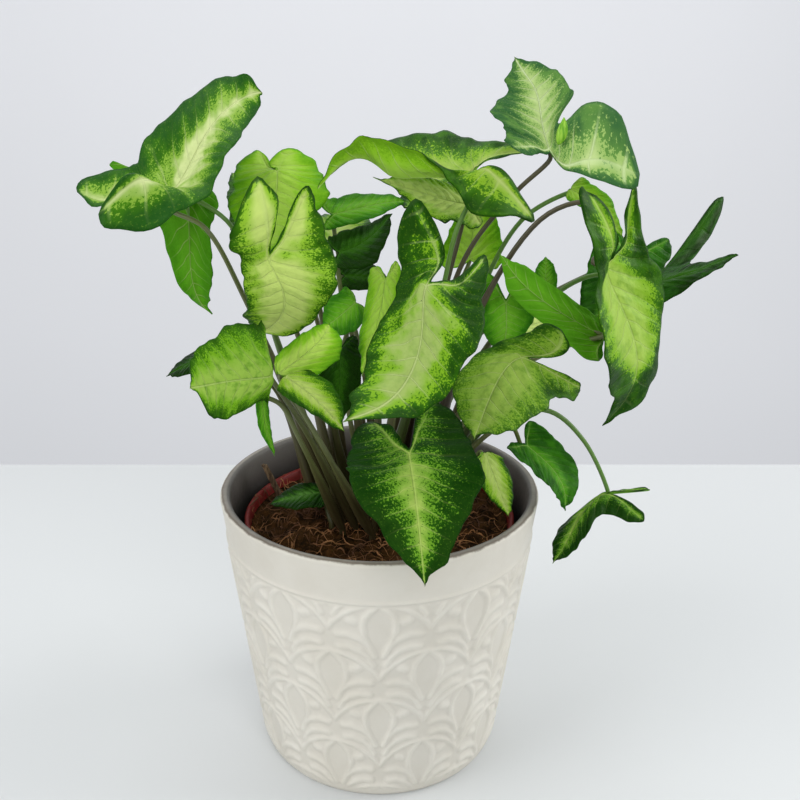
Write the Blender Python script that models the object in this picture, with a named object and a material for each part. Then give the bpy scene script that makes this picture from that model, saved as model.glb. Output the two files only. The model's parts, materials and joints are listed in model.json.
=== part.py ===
"""Arrowhead plant in a nursery pot inside a glazed outer pot. Metres, +Z up, origin under the pot."""
import bmesh
import bpy
import numpy as np

# Outer pot
POT_HEIGHT = 0.1256
POT_RIM_RADIUS = 0.0700
POT_BASE_RADIUS = 0.0544
POT_WALL = 0.0044
POT_FLOOR = 0.0060
POT_PLAIN_BAND = 0.0190
POT_FOOT = 0.0035
RELIEF_HEIGHT = 0.0012
RELIEF_MOTIFS = 10
RELIEF_PITCH = 0.0247
RELIEF_ROWS = 5
POT_SIDES = 80
POT_RINGS = 20

# One palmette in mm from its centre: strokes with their half widths, mirrored left and right
MOTIF_WIDTH = 41.5
MOTIF_PITCH = 24.7
PALMETTE = (
    (((0.0, 12.0), (5.0, 11.6), (10.0, 9.8), (15.0, 6.4), (19.0, 2.2), (20.8, -0.8)), 1.1),
    (((0.3, 11.1), (3.0, 8.9), (5.5, 5.2), (6.0, 1.6), (5.0, -2.7), (3.2, -6.7), (1.6, -10.7)), 0.8),
    (((9.6, 3.7), (11.2, 4.2)), 1.8),
    (((1.8, -13.7), (4.0, -8.7), (7.8, -4.9), (12.5, -3.1)), 1.1),
    (((7.8, -4.9), (12.5, -3.1), (17.0, -3.4)), 1.5),
    (((2.4, -18.7), (4.6, -14.3), (8.2, -11.1), (12.2, -9.5)), 1.1),
    (((8.2, -11.1), (12.2, -9.5), (16.4, -9.8)), 1.5),
)

# Nursery pot
INNER_RIM_RADIUS = 0.0600
INNER_BASE_RADIUS = 0.0430
INNER_TOP = 0.1120
INNER_LIP = 0.0030
INNER_WALL = 0.0012
INNER_SIDES = 48
SEAT = 0.0003

# Soil
SOIL_TOP = 0.1090
SOIL_DIP = 0.0015
SOIL_LEVEL_RADIUS = 0.0340
SOIL_SIDES = 48

# Dry stub left from a cut leaf, its root in mm and its top on a sight line
STUB_ROOT = (-47.5, 23)
STUB_TOP = (264, 464, 20)

# Colours
CREAM = (0.80, 0.78, 0.73)
RED = (0.36, 0.07, 0.045)
SOIL_BROWN = (0.060, 0.030, 0.016)
STUB_BROWN = (0.16, 0.10, 0.05)
LEAF_GREENS = {
    "pale": (0.36, 0.52, 0.13), "mid": (0.14, 0.36, 0.05), "dark": (0.035, 0.15, 0.025),
}

# Leaves
BLADE_THICKNESS = 0.0008
PETIOLE_TOP_RADIUS = 0.00095
PETIOLE_ROOT_RADIUS = 0.00150
PETIOLE_SIDES = 5
PETIOLE_STEPS = 6
ROOT_DEPTH = 0.0080
HOLE_CLEARANCE = 0.0003
HOLE_SIDES = 6
BLADE_RINGS = 2
WARP_EASE = 0.004

# Viewpoint the leaf landmarks are given from: each is (across, down, depth in mm) on its sight line
VIEW_EYE = (0.0, -0.400, 0.321)
VIEW_PITCH = 0.371
VIEW_FOCAL = 1000.0
VIEW_CENTRE = (379.3, 400.0)

# Flat half outline of an arrowhead blade: stalk joint at 0, tip at 1, basal lobe behind
HALF_OUTLINE = (
    (1.00, 0.000), (0.90, 0.080), (0.70, 0.235), (0.50, 0.345), (0.30, 0.410), (0.14, 0.425),
    (-0.02, 0.405), (-0.28, 0.400), (-0.39, 0.370), (-0.45, 0.300), (-0.41, 0.200), (-0.20, 0.080),
    (-0.05, 0.000),
)

# Named places on the flat blade: joint, middle, tip, shoulders, widest, waist, lobe tips and sides
FLAT = {
    "J": (0.00, 0.000), "M": (0.50, 0.000), "T": (1.00, 0.000),
    "SL": (0.70, 0.235), "SR": (0.70, -0.235), "WL": (0.30, 0.410), "WR": (0.30, -0.410),
    "KL": (-0.02, 0.405), "KR": (-0.02, -0.405), "BL": (-0.45, 0.300), "BR": (-0.45, -0.300),
    "IL": (-0.20, 0.080), "IR": (-0.20, -0.080), "OL": (-0.28, 0.400), "OR": (-0.28, -0.400),
    "PL": (0.90, 0.080), "PR": (0.90, -0.080), "CL": (-0.39, 0.370), "CR": (-0.39, -0.370),
    "NL": (-0.41, 0.200), "NR": (-0.41, -0.200), "HL": (0.05, 0.200), "HR": (0.05, -0.200),
}

# Each leaf: root in the soil (x, y in mm), landmarks, stalk bends, edge wave and midrib fold
LEAVES = {
    "top_left": dict(
        root=(-19, 4), J=(169, 193, -10), T=(262, 92, 28), PL=(247, 77, 32), PR=(261, 108, 24),
        SL=(214, 79, 29), SR=(240, 135, 2), WL=(166, 120, 14), WR=(222, 165, -14),
        KL=(138, 155, 4), KR=(199, 202, -26), OL=(116, 168, 0), OR=(152, 225, -38),
        BL=(77, 190, -8), BR=(93, 219, -44), NL=(92, 208, -16), NR=(122, 174, -35),
        IR=(150, 183, -18),
        bends=((246, 301, -12), (205, 228, -14)), wave=0.012),
    "under_left": dict(
        root=(-22, 10), J=(188, 204, 12), T=(213, 314, 4), PL=(199, 307, 6), SL=(183, 290, 8),
        SR=(210, 290, 0), WL=(164, 240, 12), WR=(211, 260, -2), KR=(212, 226, 6),
        BL=(116, 162, 28), BR=(208, 186, 22), bends=((262, 300, 8), (228, 222, 8)), wave=0.022),
    "twin_lobes": dict(
        root=(-16, -8), J=(269, 259, -45), T=(255, 334, -30), PL=(282, 335, -30),
        PR=(250, 326, -36),
        SL=(314, 321, -33), SR=(247, 312, -46), WL=(334, 286, -38), WR=(243, 280, -56),
        KL=(333, 252, -35), KR=(241, 257, -59), OL=(322, 214, -32), OR=(227, 240, -61),
        CR=(231, 222, -60), BL=(306, 189, -30), BR=(256, 173, -50), NL=(291, 208, -34),
        NR=(277, 198, -52), IL=(280, 238, -40), IR=(272, 238, -50),
        bends=((296, 330, -20),), wave=0.008, tone="pale"),
    "back_left": dict(
        root=(-14, 10), J=(277, 171, 4), T=(268, 255, -12), WL=(325, 200, -4), WR=(229, 204, 6),
        OL=(320, 166, 10), OR=(237, 167, 18), BL=(290, 149, 14), BR=(258, 149, 24),
        NL=(270, 162, 11), NR=(269, 160, 21), IL=(275, 168, 7), IR=(274, 167, 12),
        bends=((318, 300, 4),), wave=0.008, tone="pale"),
    "top_centre": dict(
        root=(0, 6), J=(466, 174, -5), M=(392, 174, -14), T=(316, 188, -30), PL=(330, 162, -26),
        SL=(362, 136, -20), WL=(416, 151, -16), KL=(446, 176, -14), OL=(478, 214, -20),
        PR=(334, 170, -16), SR=(380, 142, 6), WR=(431, 132, 20), KR=(470, 138, 24),
        OR=(506, 141, 26), BR=(531, 149, 22), NR=(508, 156, 14), IR=(482, 163, 3),
        BL=(538, 226, -8), CL=(514, 214, -14), NL=(518, 184, -2), IL=(488, 165, -2),
        bends=((440, 300, -6), (456, 232, -8)), wave=0.004),
    "below_centre": dict(
        root=(4, 12), J=(466, 204, 16), T=(373, 176, 6), PL=(390, 188, 4), SL=(408, 198, 2),
        SR=(408, 176, 12), WL=(432, 218, 2), WR=(436, 180, 18), KL=(456, 222, 4),
        BL=(482, 226, 8), BR=(486, 192, 24), bends=((440, 310, 14),), wave=0.008, tone="pale"),
    "top_right": dict(
        root=(10, 3), J=(549, 148, 0), T=(514, 56, 22), PL=(509, 74, 20), PR=(533, 61, 20),
        SL=(506, 88, 18), SR=(558, 72, 14), WL=(492, 112, 14), WR=(572, 97, 6), KL=(504, 126, 8),
        KR=(558, 123, 3), HR=(553, 134, 2), IL=(540, 151, -2), OL=(504, 137, 6), BL=(514, 148, 2),
        OR=(598, 102, 3),
        CR=(626, 118, -6), BR=(637, 181, -24), NR=(604, 180, -22), IR=(564, 170, -10),
        bends=((462, 264, 4), (516, 192, 2)), wave=0.014),
    "right_hang": dict(
        root=(17, -2), J=(607, 267, -30), T=(603, 427, -40), PL=(636, 404, -34), PR=(610, 408, -42),
        SL=(658, 366, -26), SR=(611, 380, -48), WL=(662, 306, -20), WR=(599, 324, -54),
        KL=(656, 262, -18), KR=(598, 276, -44), OL=(642, 228, -16), OR=(586, 224, -46),
        BL=(634, 184, -9), BR=(583, 178, -38), NL=(625, 212, -14), NR=(610, 210, -36),
        IL=(624, 244, -24), IR=(617, 247, -33),
        bends=((470, 330, -8), (545, 216, -14), (592, 203, -18), (612, 236, -12)), wave=0.010,
        tone="pale"),
    "right_strip": dict(
        root=(20, 8), J=(572, 190, 8), T=(624, 238, 2), WL=(608, 196, 8), WR=(590, 212, 0),
        BL=(580, 178, 12), BR=(566, 196, 6), bends=((470, 320, 14), (522, 220, 10)), rings=1,
        wave=0.010, tone="pale"),
    "far_right": dict(
        root=(24, 4), J=(655, 280, 8), T=(738, 254, -8), SL=(716, 259, 0), SR=(716, 270, -10),
        WL=(690, 263, 8), WR=(688, 288, -10), BL=(722, 194, 48), OL=(712, 234, 36),
        BR=(640, 300, 18), bends=((520, 330, 6), (590, 276, 6)), wave=0.008, tone="dark"),
    "right_rear": dict(
        root=(22, 14), J=(628, 262, 26), T=(588, 328, 14), WL=(648, 296, 22), WR=(582, 283, 14),
        BL=(669, 240, 40), BR=(610, 226, 36), bends=((500, 330, 22),), wave=0.014, tone="dark"),
    "front_big": dict(
        root=(-2, -14), J=(426, 285, -72), T=(341, 421, -102), PL=(394, 421, -102),
        PR=(350, 402, -94), SL=(438, 400, -98), SR=(362, 372, -80), WL=(474, 352, -88),
        WR=(384, 318, -66), KL=(484, 312, -74), KR=(397, 288, -62), OL=(485, 282, -64),
        OR=(398, 248, -56), CR=(402, 224, -53), BL=(489, 253, -52), BR=(414, 200, -50),
        NL=(468, 270, -56), NR=(437, 222, -52), IL=(450, 280, -64), IR=(444, 262, -58),
        bends=((395, 400, -38), (414, 315, -56)), wave=0.008),
    "front_low": dict(
        root=(4, -18), J=(409, 453, -62), T=(425, 587, -98), WL=(481, 478, -78), WR=(347, 474, -80),
        BL=(430, 401, -42), BR=(371, 419, -46), NL=(417, 414, -45), NR=(391, 424, -50),
        IL=(413, 429, -51), IR=(402, 442, -55),
        OL=(460, 418, -52), OR=(350, 447, -62), bends=((400, 480, -42),), wave=0.010, tone="dark"),
    "right_mid": dict(
        root=(11, -12), J=(522, 357, -54), T=(474, 438, -90), SL=(510, 430, -88),
        SR=(455, 408, -74),
        WL=(545, 409, -76), WR=(466, 364, -58), BL=(581, 388, -54), BR=(562, 329, -44),
        OR=(532, 330, -46), CR=(548, 326, -44), OL=(574, 398, -60),
        NR=(571, 346, -48), IL=(551, 368, -54), IR=(550, 358, -51),
        bends=((450, 440, -34), (500, 384, -40)), wave=0.008, tone="pale"),
    "left_low": dict(
        root=(-10, -14), J=(273, 375, -58), T=(190, 388, -78), PL=(202, 406, -80),
        PR=(190, 368, -74),
        SL=(218, 418, -79), SR=(198, 348, -68), WL=(242, 411, -72), WR=(228, 328, -58),
        KL=(262, 400, -64), KR=(254, 323, -50), BR=(266, 334, -44), BL=(269, 396, -60),
        IR=(268, 352, -50), bends=((305, 430, -40),), wave=0.012, tone="pale"),
    "hanging_strip": dict(
        root=(-16, -15), J=(262, 400, -56), T=(275, 456, -58), WL=(270, 424, -54),
        WR=(258, 425, -58),
        BL=(267, 392, -52), BR=(257, 393, -56), bends=((300, 440, -44), (280, 404, -48)),
        rings=1, wave=0.002),
    "lime_young": dict(
        root=(-7, -9), J=(280, 373, -48), T=(330, 322, -46), WL=(296, 338, -43), WR=(338, 360, -51),
        SR=(341, 340, -51), BL=(277, 366, -46), BR=(308, 377, -53), bends=((318, 440, -30),),
        rings=1, wave=0.004, tone="pale"),
    "low_speckled": dict(
        root=(-3, -20), J=(286, 377, -60), T=(345, 432, -76), WL=(334, 386, -66),
        WR=(298, 405, -72),
        BL=(302, 371, -58), BR=(279, 388, -62), bends=((325, 450, -48),), rings=1, wave=0.008),
    "dark_heart": dict(
        root=(0, -7), J=(340, 350, -26), T=(338, 424, -42), WL=(362, 380, -36), WR=(318, 378, -34),
        BL=(354, 336, -20), BR=(324, 342, -18), bends=((352, 430, -20),), wave=0.010, tone="dark"),
    "upright_fold": dict(
        root=(5, -9), J=(385, 281, -34), T=(361, 376, -52), WL=(396, 322, -46), WR=(362, 322, -36),
        BL=(398, 262, -30), BR=(374, 266, -26), bends=((378, 420, -22), (392, 330, -26)),
        wave=0.006, tone="pale"),
    "shade_upper": dict(
        root=(-4, 0), J=(340, 252, -18), T=(392, 213, -8), SL=(372, 222, -6), SR=(388, 236, -16),
        WL=(350, 229, -12), WR=(376, 262, -24), BL=(328, 240, -14), BR=(334, 266, -24),
        bends=((346, 330, -12),), rings=1, wave=0.006, tone="dark"),
    "shade_lower": dict(
        root=(1, 0), J=(346, 276, -8), T=(394, 284, -14), WL=(370, 264, -4), WR=(368, 290, -14),
        BL=(336, 268, -4), BR=(338, 288, -10), bends=((362, 360, -4),), rings=1, wave=0.006,
        tone="dark"),
    "inner_left": dict(
        root=(-11, 2), J=(355, 303, -21), T=(322, 330, -32), WL=(352, 333, -30), WR=(328, 300, -22),
        BL=(367, 312, -22), BR=(350, 289, -16), bends=((332, 400, -13),), rings=1, wave=0.010),
    "back_pointed": dict(
        root=(-5, 14), J=(335, 214, 14), T=(406, 201, 12), SL=(388, 194, 18), WL=(360, 194, 22),
        WR=(372, 218, 6), BL=(322, 202, 22), BR=(324, 228, 12), bends=((350, 320, 12),), rings=1,
        wave=0.008),
    "back_lime": dict(
        root=(10, 14), J=(470, 258, 34), T=(478, 196, 40), WL=(448, 232, 36), WR=(500, 226, 34),
        BL=(446, 268, 28), BR=(496, 268, 26), bends=((432, 350, 20),), wave=0.010, tone="pale"),
    "bright_fold": dict(
        root=(14, -7), J=(602, 338, -30), T=(499, 252, -14), SL=(528, 269, -18), SR=(510, 294, -20),
        WL=(572, 299, -22), WR=(545, 325, -26), BL=(613, 334, -26), BR=(597, 362, -36),
        OR=(574, 350, -34), KR=(560, 334, -31),
        bends=((468, 404, -18), (545, 354, -22)), wave=0.004),
    "small_tips": dict(
        root=(14, 8), J=(546, 290, 10), T=(546, 256, 16), WL=(534, 274, 12), WR=(557, 274, 12),
        BL=(538, 296, 8), BR=(554, 296, 8), bends=((464, 350, 6),), rings=1, wave=0.006),
    "light_pair": dict(
        root=(9, -4), J=(506, 303, -8), T=(502, 352, -16), WL=(532, 322, -12), WR=(483, 328, -10),
        BL=(526, 272, 0), BR=(486, 272, -2), bends=((446, 380, -12),), rings=1, wave=0.010),
    "out_right": dict(
        root=(17, -14), J=(528, 446, -4), T=(566, 511, -22), SL=(578, 488, -16), SR=(556, 496, -26),
        WL=(574, 460, -6), WR=(545, 482, -26), OL=(545, 428, 2), BL=(530, 421, 4),
        BR=(508, 446, -8),
        OR=(522, 462, -18), bends=((470, 450, -12), (508, 424, -10)), wave=0.010),
    "trail_right": dict(
        root=(24, -8), J=(603, 494, -12), T=(552, 563, -34), WL=(588, 532, -28), WR=(566, 522, -14),
        SL=(573, 552, -33), SR=(553, 544, -26), KL=(602, 514, -20), BL=(643, 519, -22),
        CL=(639, 524, -24), BR=(649, 488, -4),
        bends=((480, 430, -6), (545, 410, -4), (584, 441, -6)),
        wave=0.006, tone="dark"),
    "inside_right": dict(
        root=(22, -16), J=(486, 454, -24), T=(509, 516, -30), WL=(513, 486, -22),
        WR=(484, 490, -32),
        BL=(500, 456, -19), BR=(479, 459, -29), bends=((466, 474, -25),), rings=1, wave=0.006),
    "low_dark": dict(
        root=(-21, -9), J=(320, 493, -4), T=(269, 504, -10), WL=(298, 509, -16), WR=(298, 484, 2),
        BL=(324, 505, -13), BR=(323, 487, 1), bends=(), rings=1, wave=0.006, tone="dark"),
    "behind_left": dict(
        root=(-28, 6), J=(212, 352, -22), T=(166, 376, -22), WL=(190, 374, -28), WR=(190, 354, -14),
        BL=(222, 362, -26), BR=(222, 342, -16), bends=((276, 390, 8),), rings=1, wave=0.008,
        tone="dark"),
    "rear_left": dict(
        root=(-18, 17), J=(252, 212, 42), T=(232, 172, 78), WL=(228, 200, 48), WR=(280, 184, 66),
        BL=(236, 232, 24), BR=(276, 222, 36), bends=((310, 300, 30),), wave=0.016),
    "rear_centre": dict(
        root=(-8, 22), J=(332, 236, 50), T=(352, 214, 96), WL=(318, 216, 76), WR=(372, 226, 64),
        BL=(314, 244, 38), BR=(352, 256, 28), bends=((350, 320, 40),), wave=0.016),
    "rear_right": dict(
        root=(4, 22), J=(428, 200, 60), T=(446, 156, 94), WL=(408, 176, 80), WR=(466, 184, 68),
        BL=(404, 208, 50), BR=(446, 222, 44), bends=((412, 300, 40),), wave=0.016, tone="dark"),
    "rear_low": dict(
        root=(14, 20), J=(520, 330, 52), T=(560, 320, 86), WL=(520, 306, 74), WR=(562, 342, 56),
        BL=(498, 332, 44), BR=(530, 358, 30), bends=((462, 380, 36),), wave=0.016),
}


def at(across, down, depth_mm):
    """Point at a given depth on the sight line through (across, down)."""
    cos, sin = np.cos(VIEW_PITCH), np.sin(VIEW_PITCH)
    right = np.array([1.0, 0.0, 0.0]) * (across - VIEW_CENTRE[0]) / VIEW_FOCAL
    below = np.array([0.0, sin, cos]) * (down - VIEW_CENTRE[1]) / VIEW_FOCAL
    ray = np.array([0.0, cos, -sin]) + right - below
    eye = np.array(VIEW_EYE)
    return eye + ray * (depth_mm / 1000.0 - eye[1]) / ray[1]


def smooth_path(points, count):
    """Centripetal Catmull-Rom curve through the points."""
    points = np.asarray(points, float)
    steps = np.linalg.norm(np.diff(points, axis=0), axis=1) ** 0.5
    knots = np.concatenate([[0.0], np.cumsum(steps)])
    ends = np.vstack([2 * points[0] - points[1], points, 2 * points[-1] - points[-2]])
    marks = np.concatenate([[-knots[1]], knots, [2 * knots[-1] - knots[-2]]])
    result = []
    for x in np.linspace(0.0, knots[-1], count):
        i = min(max(int(np.searchsorted(knots, x, side="right")) - 1, 0), len(points) - 2)
        p = ends[i:i + 4]
        t = marks[i:i + 4]
        a = [(t[k + 1] - x) / (t[k + 1] - t[k]) * p[k] + (x - t[k]) / (t[k + 1] - t[k]) * p[k + 1]
             for k in range(3)]
        b = [(t[k + 2] - x) / (t[k + 2] - t[k]) * a[k] + (x - t[k]) / (t[k + 2] - t[k]) * a[k + 1]
             for k in range(2)]
        result.append((t[2] - x) / (t[2] - t[1]) * b[0] + (x - t[1]) / (t[2] - t[1]) * b[1])
    return np.array(result)


def kernel(squared):
    """Thin-plate kernel of a squared distance."""
    return squared * np.log(squared + 1e-12)


def warp_through(flat, placed):
    """Smooth map from the flat blade to space that takes each landmark to its place."""
    count = len(flat)
    gaps = kernel(((flat[:, None] - flat[None]) ** 2).sum(-1)) + np.eye(count) * WARP_EASE
    plane = np.column_stack([np.ones(count), flat])
    system = np.block([[gaps, plane], [plane.T, np.zeros((3, 3))]])
    weights = np.linalg.solve(system, np.vstack([placed, np.zeros((3, 3))]))

    def carry(q):
        near = kernel(((q[:, None] - flat[None]) ** 2).sum(-1))
        return near @ weights[:count] + np.column_stack([np.ones(len(q)), q]) @ weights[count:]
    return carry


def flat_blade(rings):
    """Flat blade as points (x, y, share of the way out, edge position), triangles and edge loop."""
    side = np.array(HALF_OUTLINE)
    points, index, triangles, loop = [], {}, [], []

    def point_id(place, share, along):
        key = (round(float(place[0]), 5), round(float(place[1]), 5))
        if key not in index:
            index[key] = len(points)
            points.append((place[0], place[1], share, along))
        return index[key]

    for sign in (1, -1):
        spokes = []
        for i, (x, y) in enumerate(side):
            hub_x = min(max(x - 0.55 * abs(y), 0.0), 0.97)
            if i == 0:
                hub_x = 0.97
            hub = np.array([hub_x, 0.0])
            rim = np.array([x, sign * y])
            along = sign * i / (len(side) - 1)
            spokes.append([point_id(hub + (rim - hub) * share, share, along)
                           for share in np.linspace(0.0, 1.0, rings + 1)])
        for first, second in zip(spokes[:-1], spokes[1:]):
            for j in range(rings):
                quad = (first[j], first[j + 1], second[j + 1], second[j])
                for tri in ((quad[0], quad[1], quad[2]), (quad[0], quad[2], quad[3])):
                    if len(set(tri)) == 3:
                        triangles.append(tri if sign < 0 else tri[::-1])
        rim_ids = [spoke[-1] for spoke in spokes]
        loop += rim_ids if sign > 0 else rim_ids[::-1][1:-1]
    return np.array(points), triangles, loop


def blade_surface(leaf, flat_points):
    """Middle surface of a blade, its upward normals, joint, next midrib point, up and length."""
    names = [name for name in FLAT if name in leaf]
    flat = np.array([FLAT[name] for name in names], float)
    placed = np.array([at(*leaf[name]) for name in names])
    carry = warp_through(flat, placed)
    q = flat_points[:, :2]
    surface = carry(q)
    step = 0.001
    normal = np.cross(carry(q + [step, 0]) - surface, carry(q + [0, step]) - surface)
    normal /= np.linalg.norm(normal, axis=1)[:, None]
    length = np.linalg.norm(at(*leaf["T"]) - at(*leaf["J"]))
    share, along = flat_points[:, 2], flat_points[:, 3]
    phase = leaf.get("phase", 0.0) + 0.37 * (along < 0)
    ripple = np.sin(2 * np.pi * (leaf.get("waves", 3.0) * np.abs(along) + phase))
    lift = leaf.get("wave", 0.01) * length * share ** 2 * ripple
    lift = lift + leaf.get("fold", 0.0) * np.abs(q[:, 1]) * length
    surface = surface + normal * lift[:, None]
    origin = np.array([[0.0, 0.0], [0.06, 0.0], [0.0, 0.04]])
    joint, ahead, left = carry(origin)
    up = np.cross(ahead - joint, left - joint)
    up /= np.linalg.norm(up)
    return surface, normal, joint, ahead, up, length


def blade_solid(surface, normal, triangles, loop):
    """Closed blade of even thickness."""
    count = len(surface)
    half = normal * BLADE_THICKNESS / 2
    points = np.vstack([surface + half, surface - half])
    faces = [tuple(tri[::-1]) for tri in triangles]
    faces += [tuple(i + count for i in tri) for tri in triangles]
    for here, after in zip(loop, loop[1:] + loop[:1]):
        faces.append((after, here, here + count))
        faces.append((after, here + count, after + count))
    return points, faces


def tube_solid(path, radii, sides):
    """Closed tube round a path."""
    path = np.asarray(path)
    tangent = np.gradient(path, axis=0)
    tangent /= np.linalg.norm(tangent, axis=1)[:, None]
    across = np.cross(tangent[0], [1.0, 0.0, 0.0])
    points = []
    for i, centre in enumerate(path):
        across = across - tangent[i] * (across @ tangent[i])
        across /= np.linalg.norm(across)
        other = np.cross(tangent[i], across)
        for k in range(sides):
            turn = 2 * np.pi * k / sides
            points.append(centre + radii[i] * (np.cos(turn) * across + np.sin(turn) * other))
    faces = []
    for i in range(len(path) - 1):
        for k in range(sides):
            a = i * sides + k
            b = i * sides + (k + 1) % sides
            faces.append((a, b, b + sides))
            faces.append((a, b + sides, a + sides))
    first, last = len(points), len(points) + 1
    points += [path[0], path[-1]]
    top = (len(path) - 1) * sides
    for k in range(sides):
        faces.append((first, (k + 1) % sides, k))
        faces.append((last, top + k, top + (k + 1) % sides))
    return np.array(points), faces


def stalk_path(leaf, joint, ahead, up, length):
    """Stalk from its hole in the soil to the blade's joint."""
    root_x, root_y = leaf["root"][0] / 1000.0, leaf["root"][1] / 1000.0
    hole_floor = SOIL_TOP - ROOT_DEPTH + SEAT
    sink = up * BLADE_THICKNESS * 0.4
    bends = [at(*bend) for bend in leaf["bends"]]
    lead = joint - up * 0.10 * length - (ahead - joint) * 0.8
    points = [np.array([root_x, root_y, hole_floor]), np.array([root_x, root_y, SOIL_TOP + 0.002])]
    return points + bends + [lead, joint - sink, ahead - sink]


def stalk_solid(leaf, joint, ahead, up, length):
    """Stalk as a tapering tube whose buried part stands straight up."""
    points = stalk_path(leaf, joint, ahead, up, length)
    path = np.vstack([points[0], smooth_path(points[1:], PETIOLE_STEPS + len(leaf["bends"]))])
    run = np.concatenate([[0.0], np.cumsum(np.linalg.norm(np.diff(path, axis=0), axis=1))])
    share = run / run[-1]
    radii = PETIOLE_ROOT_RADIUS + (PETIOLE_TOP_RADIUS - PETIOLE_ROOT_RADIUS) * np.minimum(share / 0.8, 1)
    return tube_solid(path, radii, PETIOLE_SIDES)


def leaf_solids(leaf):
    """The two closed solids of a leaf: stalk and blade."""
    flat_points, triangles, loop = flat_blade(leaf.get("rings", BLADE_RINGS))
    surface, normal, joint, ahead, up, length = blade_surface(leaf, flat_points)
    return stalk_solid(leaf, joint, ahead, up, length), blade_solid(surface, normal, triangles, loop)


def stub_solid():
    """Dry stalk stub standing in its own hole near the nursery pot's wall."""
    foot = np.array([STUB_ROOT[0] / 1000.0, STUB_ROOT[1] / 1000.0, SOIL_TOP - ROOT_DEPTH + SEAT])
    mouth = foot + np.array([0.0, 0.0, ROOT_DEPTH + 0.0005])
    top = at(*STUB_TOP)
    path = np.array([foot, mouth, (mouth + top) / 2, top])
    return tube_solid(path, (0.0015, 0.0015, 0.0017, 0.0013), PETIOLE_SIDES + 1)


def soil_height(radius):
    """Soil surface: level where the stalks stand, dipping towards the wall."""
    return SOIL_TOP - SOIL_DIP * np.clip((radius - SOIL_LEVEL_RADIUS) / 0.02, 0.0, 1.0) ** 1.5


def outer_radius(z):
    """Plain taper of the outer pot's wall."""
    return POT_BASE_RADIUS + (POT_RIM_RADIUS - POT_BASE_RADIUS) * z / POT_HEIGHT


def stroke_distance(x, y, stroke):
    """Distance from points to a polyline."""
    best = np.full(np.shape(x), 1e9)
    for (ax, ay), (bx, by) in zip(stroke[:-1], stroke[1:]):
        dx, dy = bx - ax, by - ay
        t = np.clip(((x - ax) * dx + (y - ay) * dy) / (dx * dx + dy * dy), 0.0, 1.0)
        best = np.minimum(best, np.hypot(x - ax - t * dx, y - ay - t * dy))
    return best


def relief(turn, z):
    """Raised palmettes in staggered rows, from 0 to 1, for a turn in radians and a height."""
    rows_down = (POT_HEIGHT - POT_PLAIN_BAND - z) / RELIEF_PITCH
    height = np.zeros(np.broadcast(turn, z).shape)
    for row in range(-1, RELIEF_ROWS + 1):
        across = turn / (2 * np.pi) * RELIEF_MOTIFS - 0.5 * (row % 2)
        x = (across - np.round(across)) * MOTIF_WIDTH
        y = (row + 0.5 - rows_down) * MOTIF_PITCH
        for stroke, width in PALMETTE:
            for side in (1, -1):
                away = stroke_distance(x * side, y, stroke)
                height = np.maximum(height, np.clip(1.0 - (away / width) ** 2, 0.0, 1.0))
    below_line = np.clip((POT_HEIGHT - POT_PLAIN_BAND - 0.001 - z) / 0.0015, 0.0, 1.0)
    above_foot = np.clip((z - POT_FOOT) / 0.003, 0.0, 1.0)
    return height * below_line * above_foot


def revolve(profile, sides):
    """Closed solid turned from a profile that starts and ends on the axis."""
    points, faces = [], []
    rings = []
    for radius, z in profile:
        if radius == 0.0:
            rings.append([len(points)])
            points.append((0.0, 0.0, z))
        else:
            rings.append(list(range(len(points), len(points) + sides)))
            for k in range(sides):
                turn = 2 * np.pi * k / sides
                points.append((radius * np.cos(turn), radius * np.sin(turn), z))
    for low, high in zip(rings[:-1], rings[1:]):
        for k in range(sides):
            n = (k + 1) % sides
            if len(low) == 1:
                faces.append((low[0], high[n], high[k]))
            elif len(high) == 1:
                faces.append((low[k], low[n], high[0]))
            else:
                faces.append((low[k], low[n], high[n], high[k]))
    return np.array(points), faces


def outer_pot_solid():
    """Tapered outer pot with a raised line and palmette relief."""
    top_of_relief = POT_HEIGHT - POT_PLAIN_BAND
    profile = [(0.0, 0.0), (POT_BASE_RADIUS - 0.0022, 0.0), (POT_BASE_RADIUS - 0.0004, 0.0014)]
    first = len(profile)
    for z in np.linspace(POT_FOOT, top_of_relief - 0.0012, POT_RINGS):
        profile.append((outer_radius(z), z))
    last = len(profile)
    profile += [(outer_radius(top_of_relief) + 0.0007, top_of_relief),
                (outer_radius(top_of_relief), top_of_relief + 0.0012),
                (POT_RIM_RADIUS - 0.0001, POT_HEIGHT - 0.0012), (POT_RIM_RADIUS - 0.0010, POT_HEIGHT),
                (POT_RIM_RADIUS - POT_WALL + 0.0008, POT_HEIGHT),
                (POT_RIM_RADIUS - POT_WALL, POT_HEIGHT - 0.0010),
                (outer_radius(POT_FLOOR) - POT_WALL, POT_FLOOR), (0.0, POT_FLOOR)]
    points, faces = revolve(profile, POT_SIDES)
    turn = np.arctan2(points[:, 1], points[:, 0])
    start = 1 + (first - 1) * POT_SIDES
    stop = 1 + (last - 1) * POT_SIDES
    face_turn = turn[start:stop] + np.pi / 2
    bump = RELIEF_HEIGHT * relief(face_turn, points[start:stop, 2])
    points[start:stop, 0] += bump * np.cos(turn[start:stop])
    points[start:stop, 1] += bump * np.sin(turn[start:stop])
    return points, faces


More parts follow.
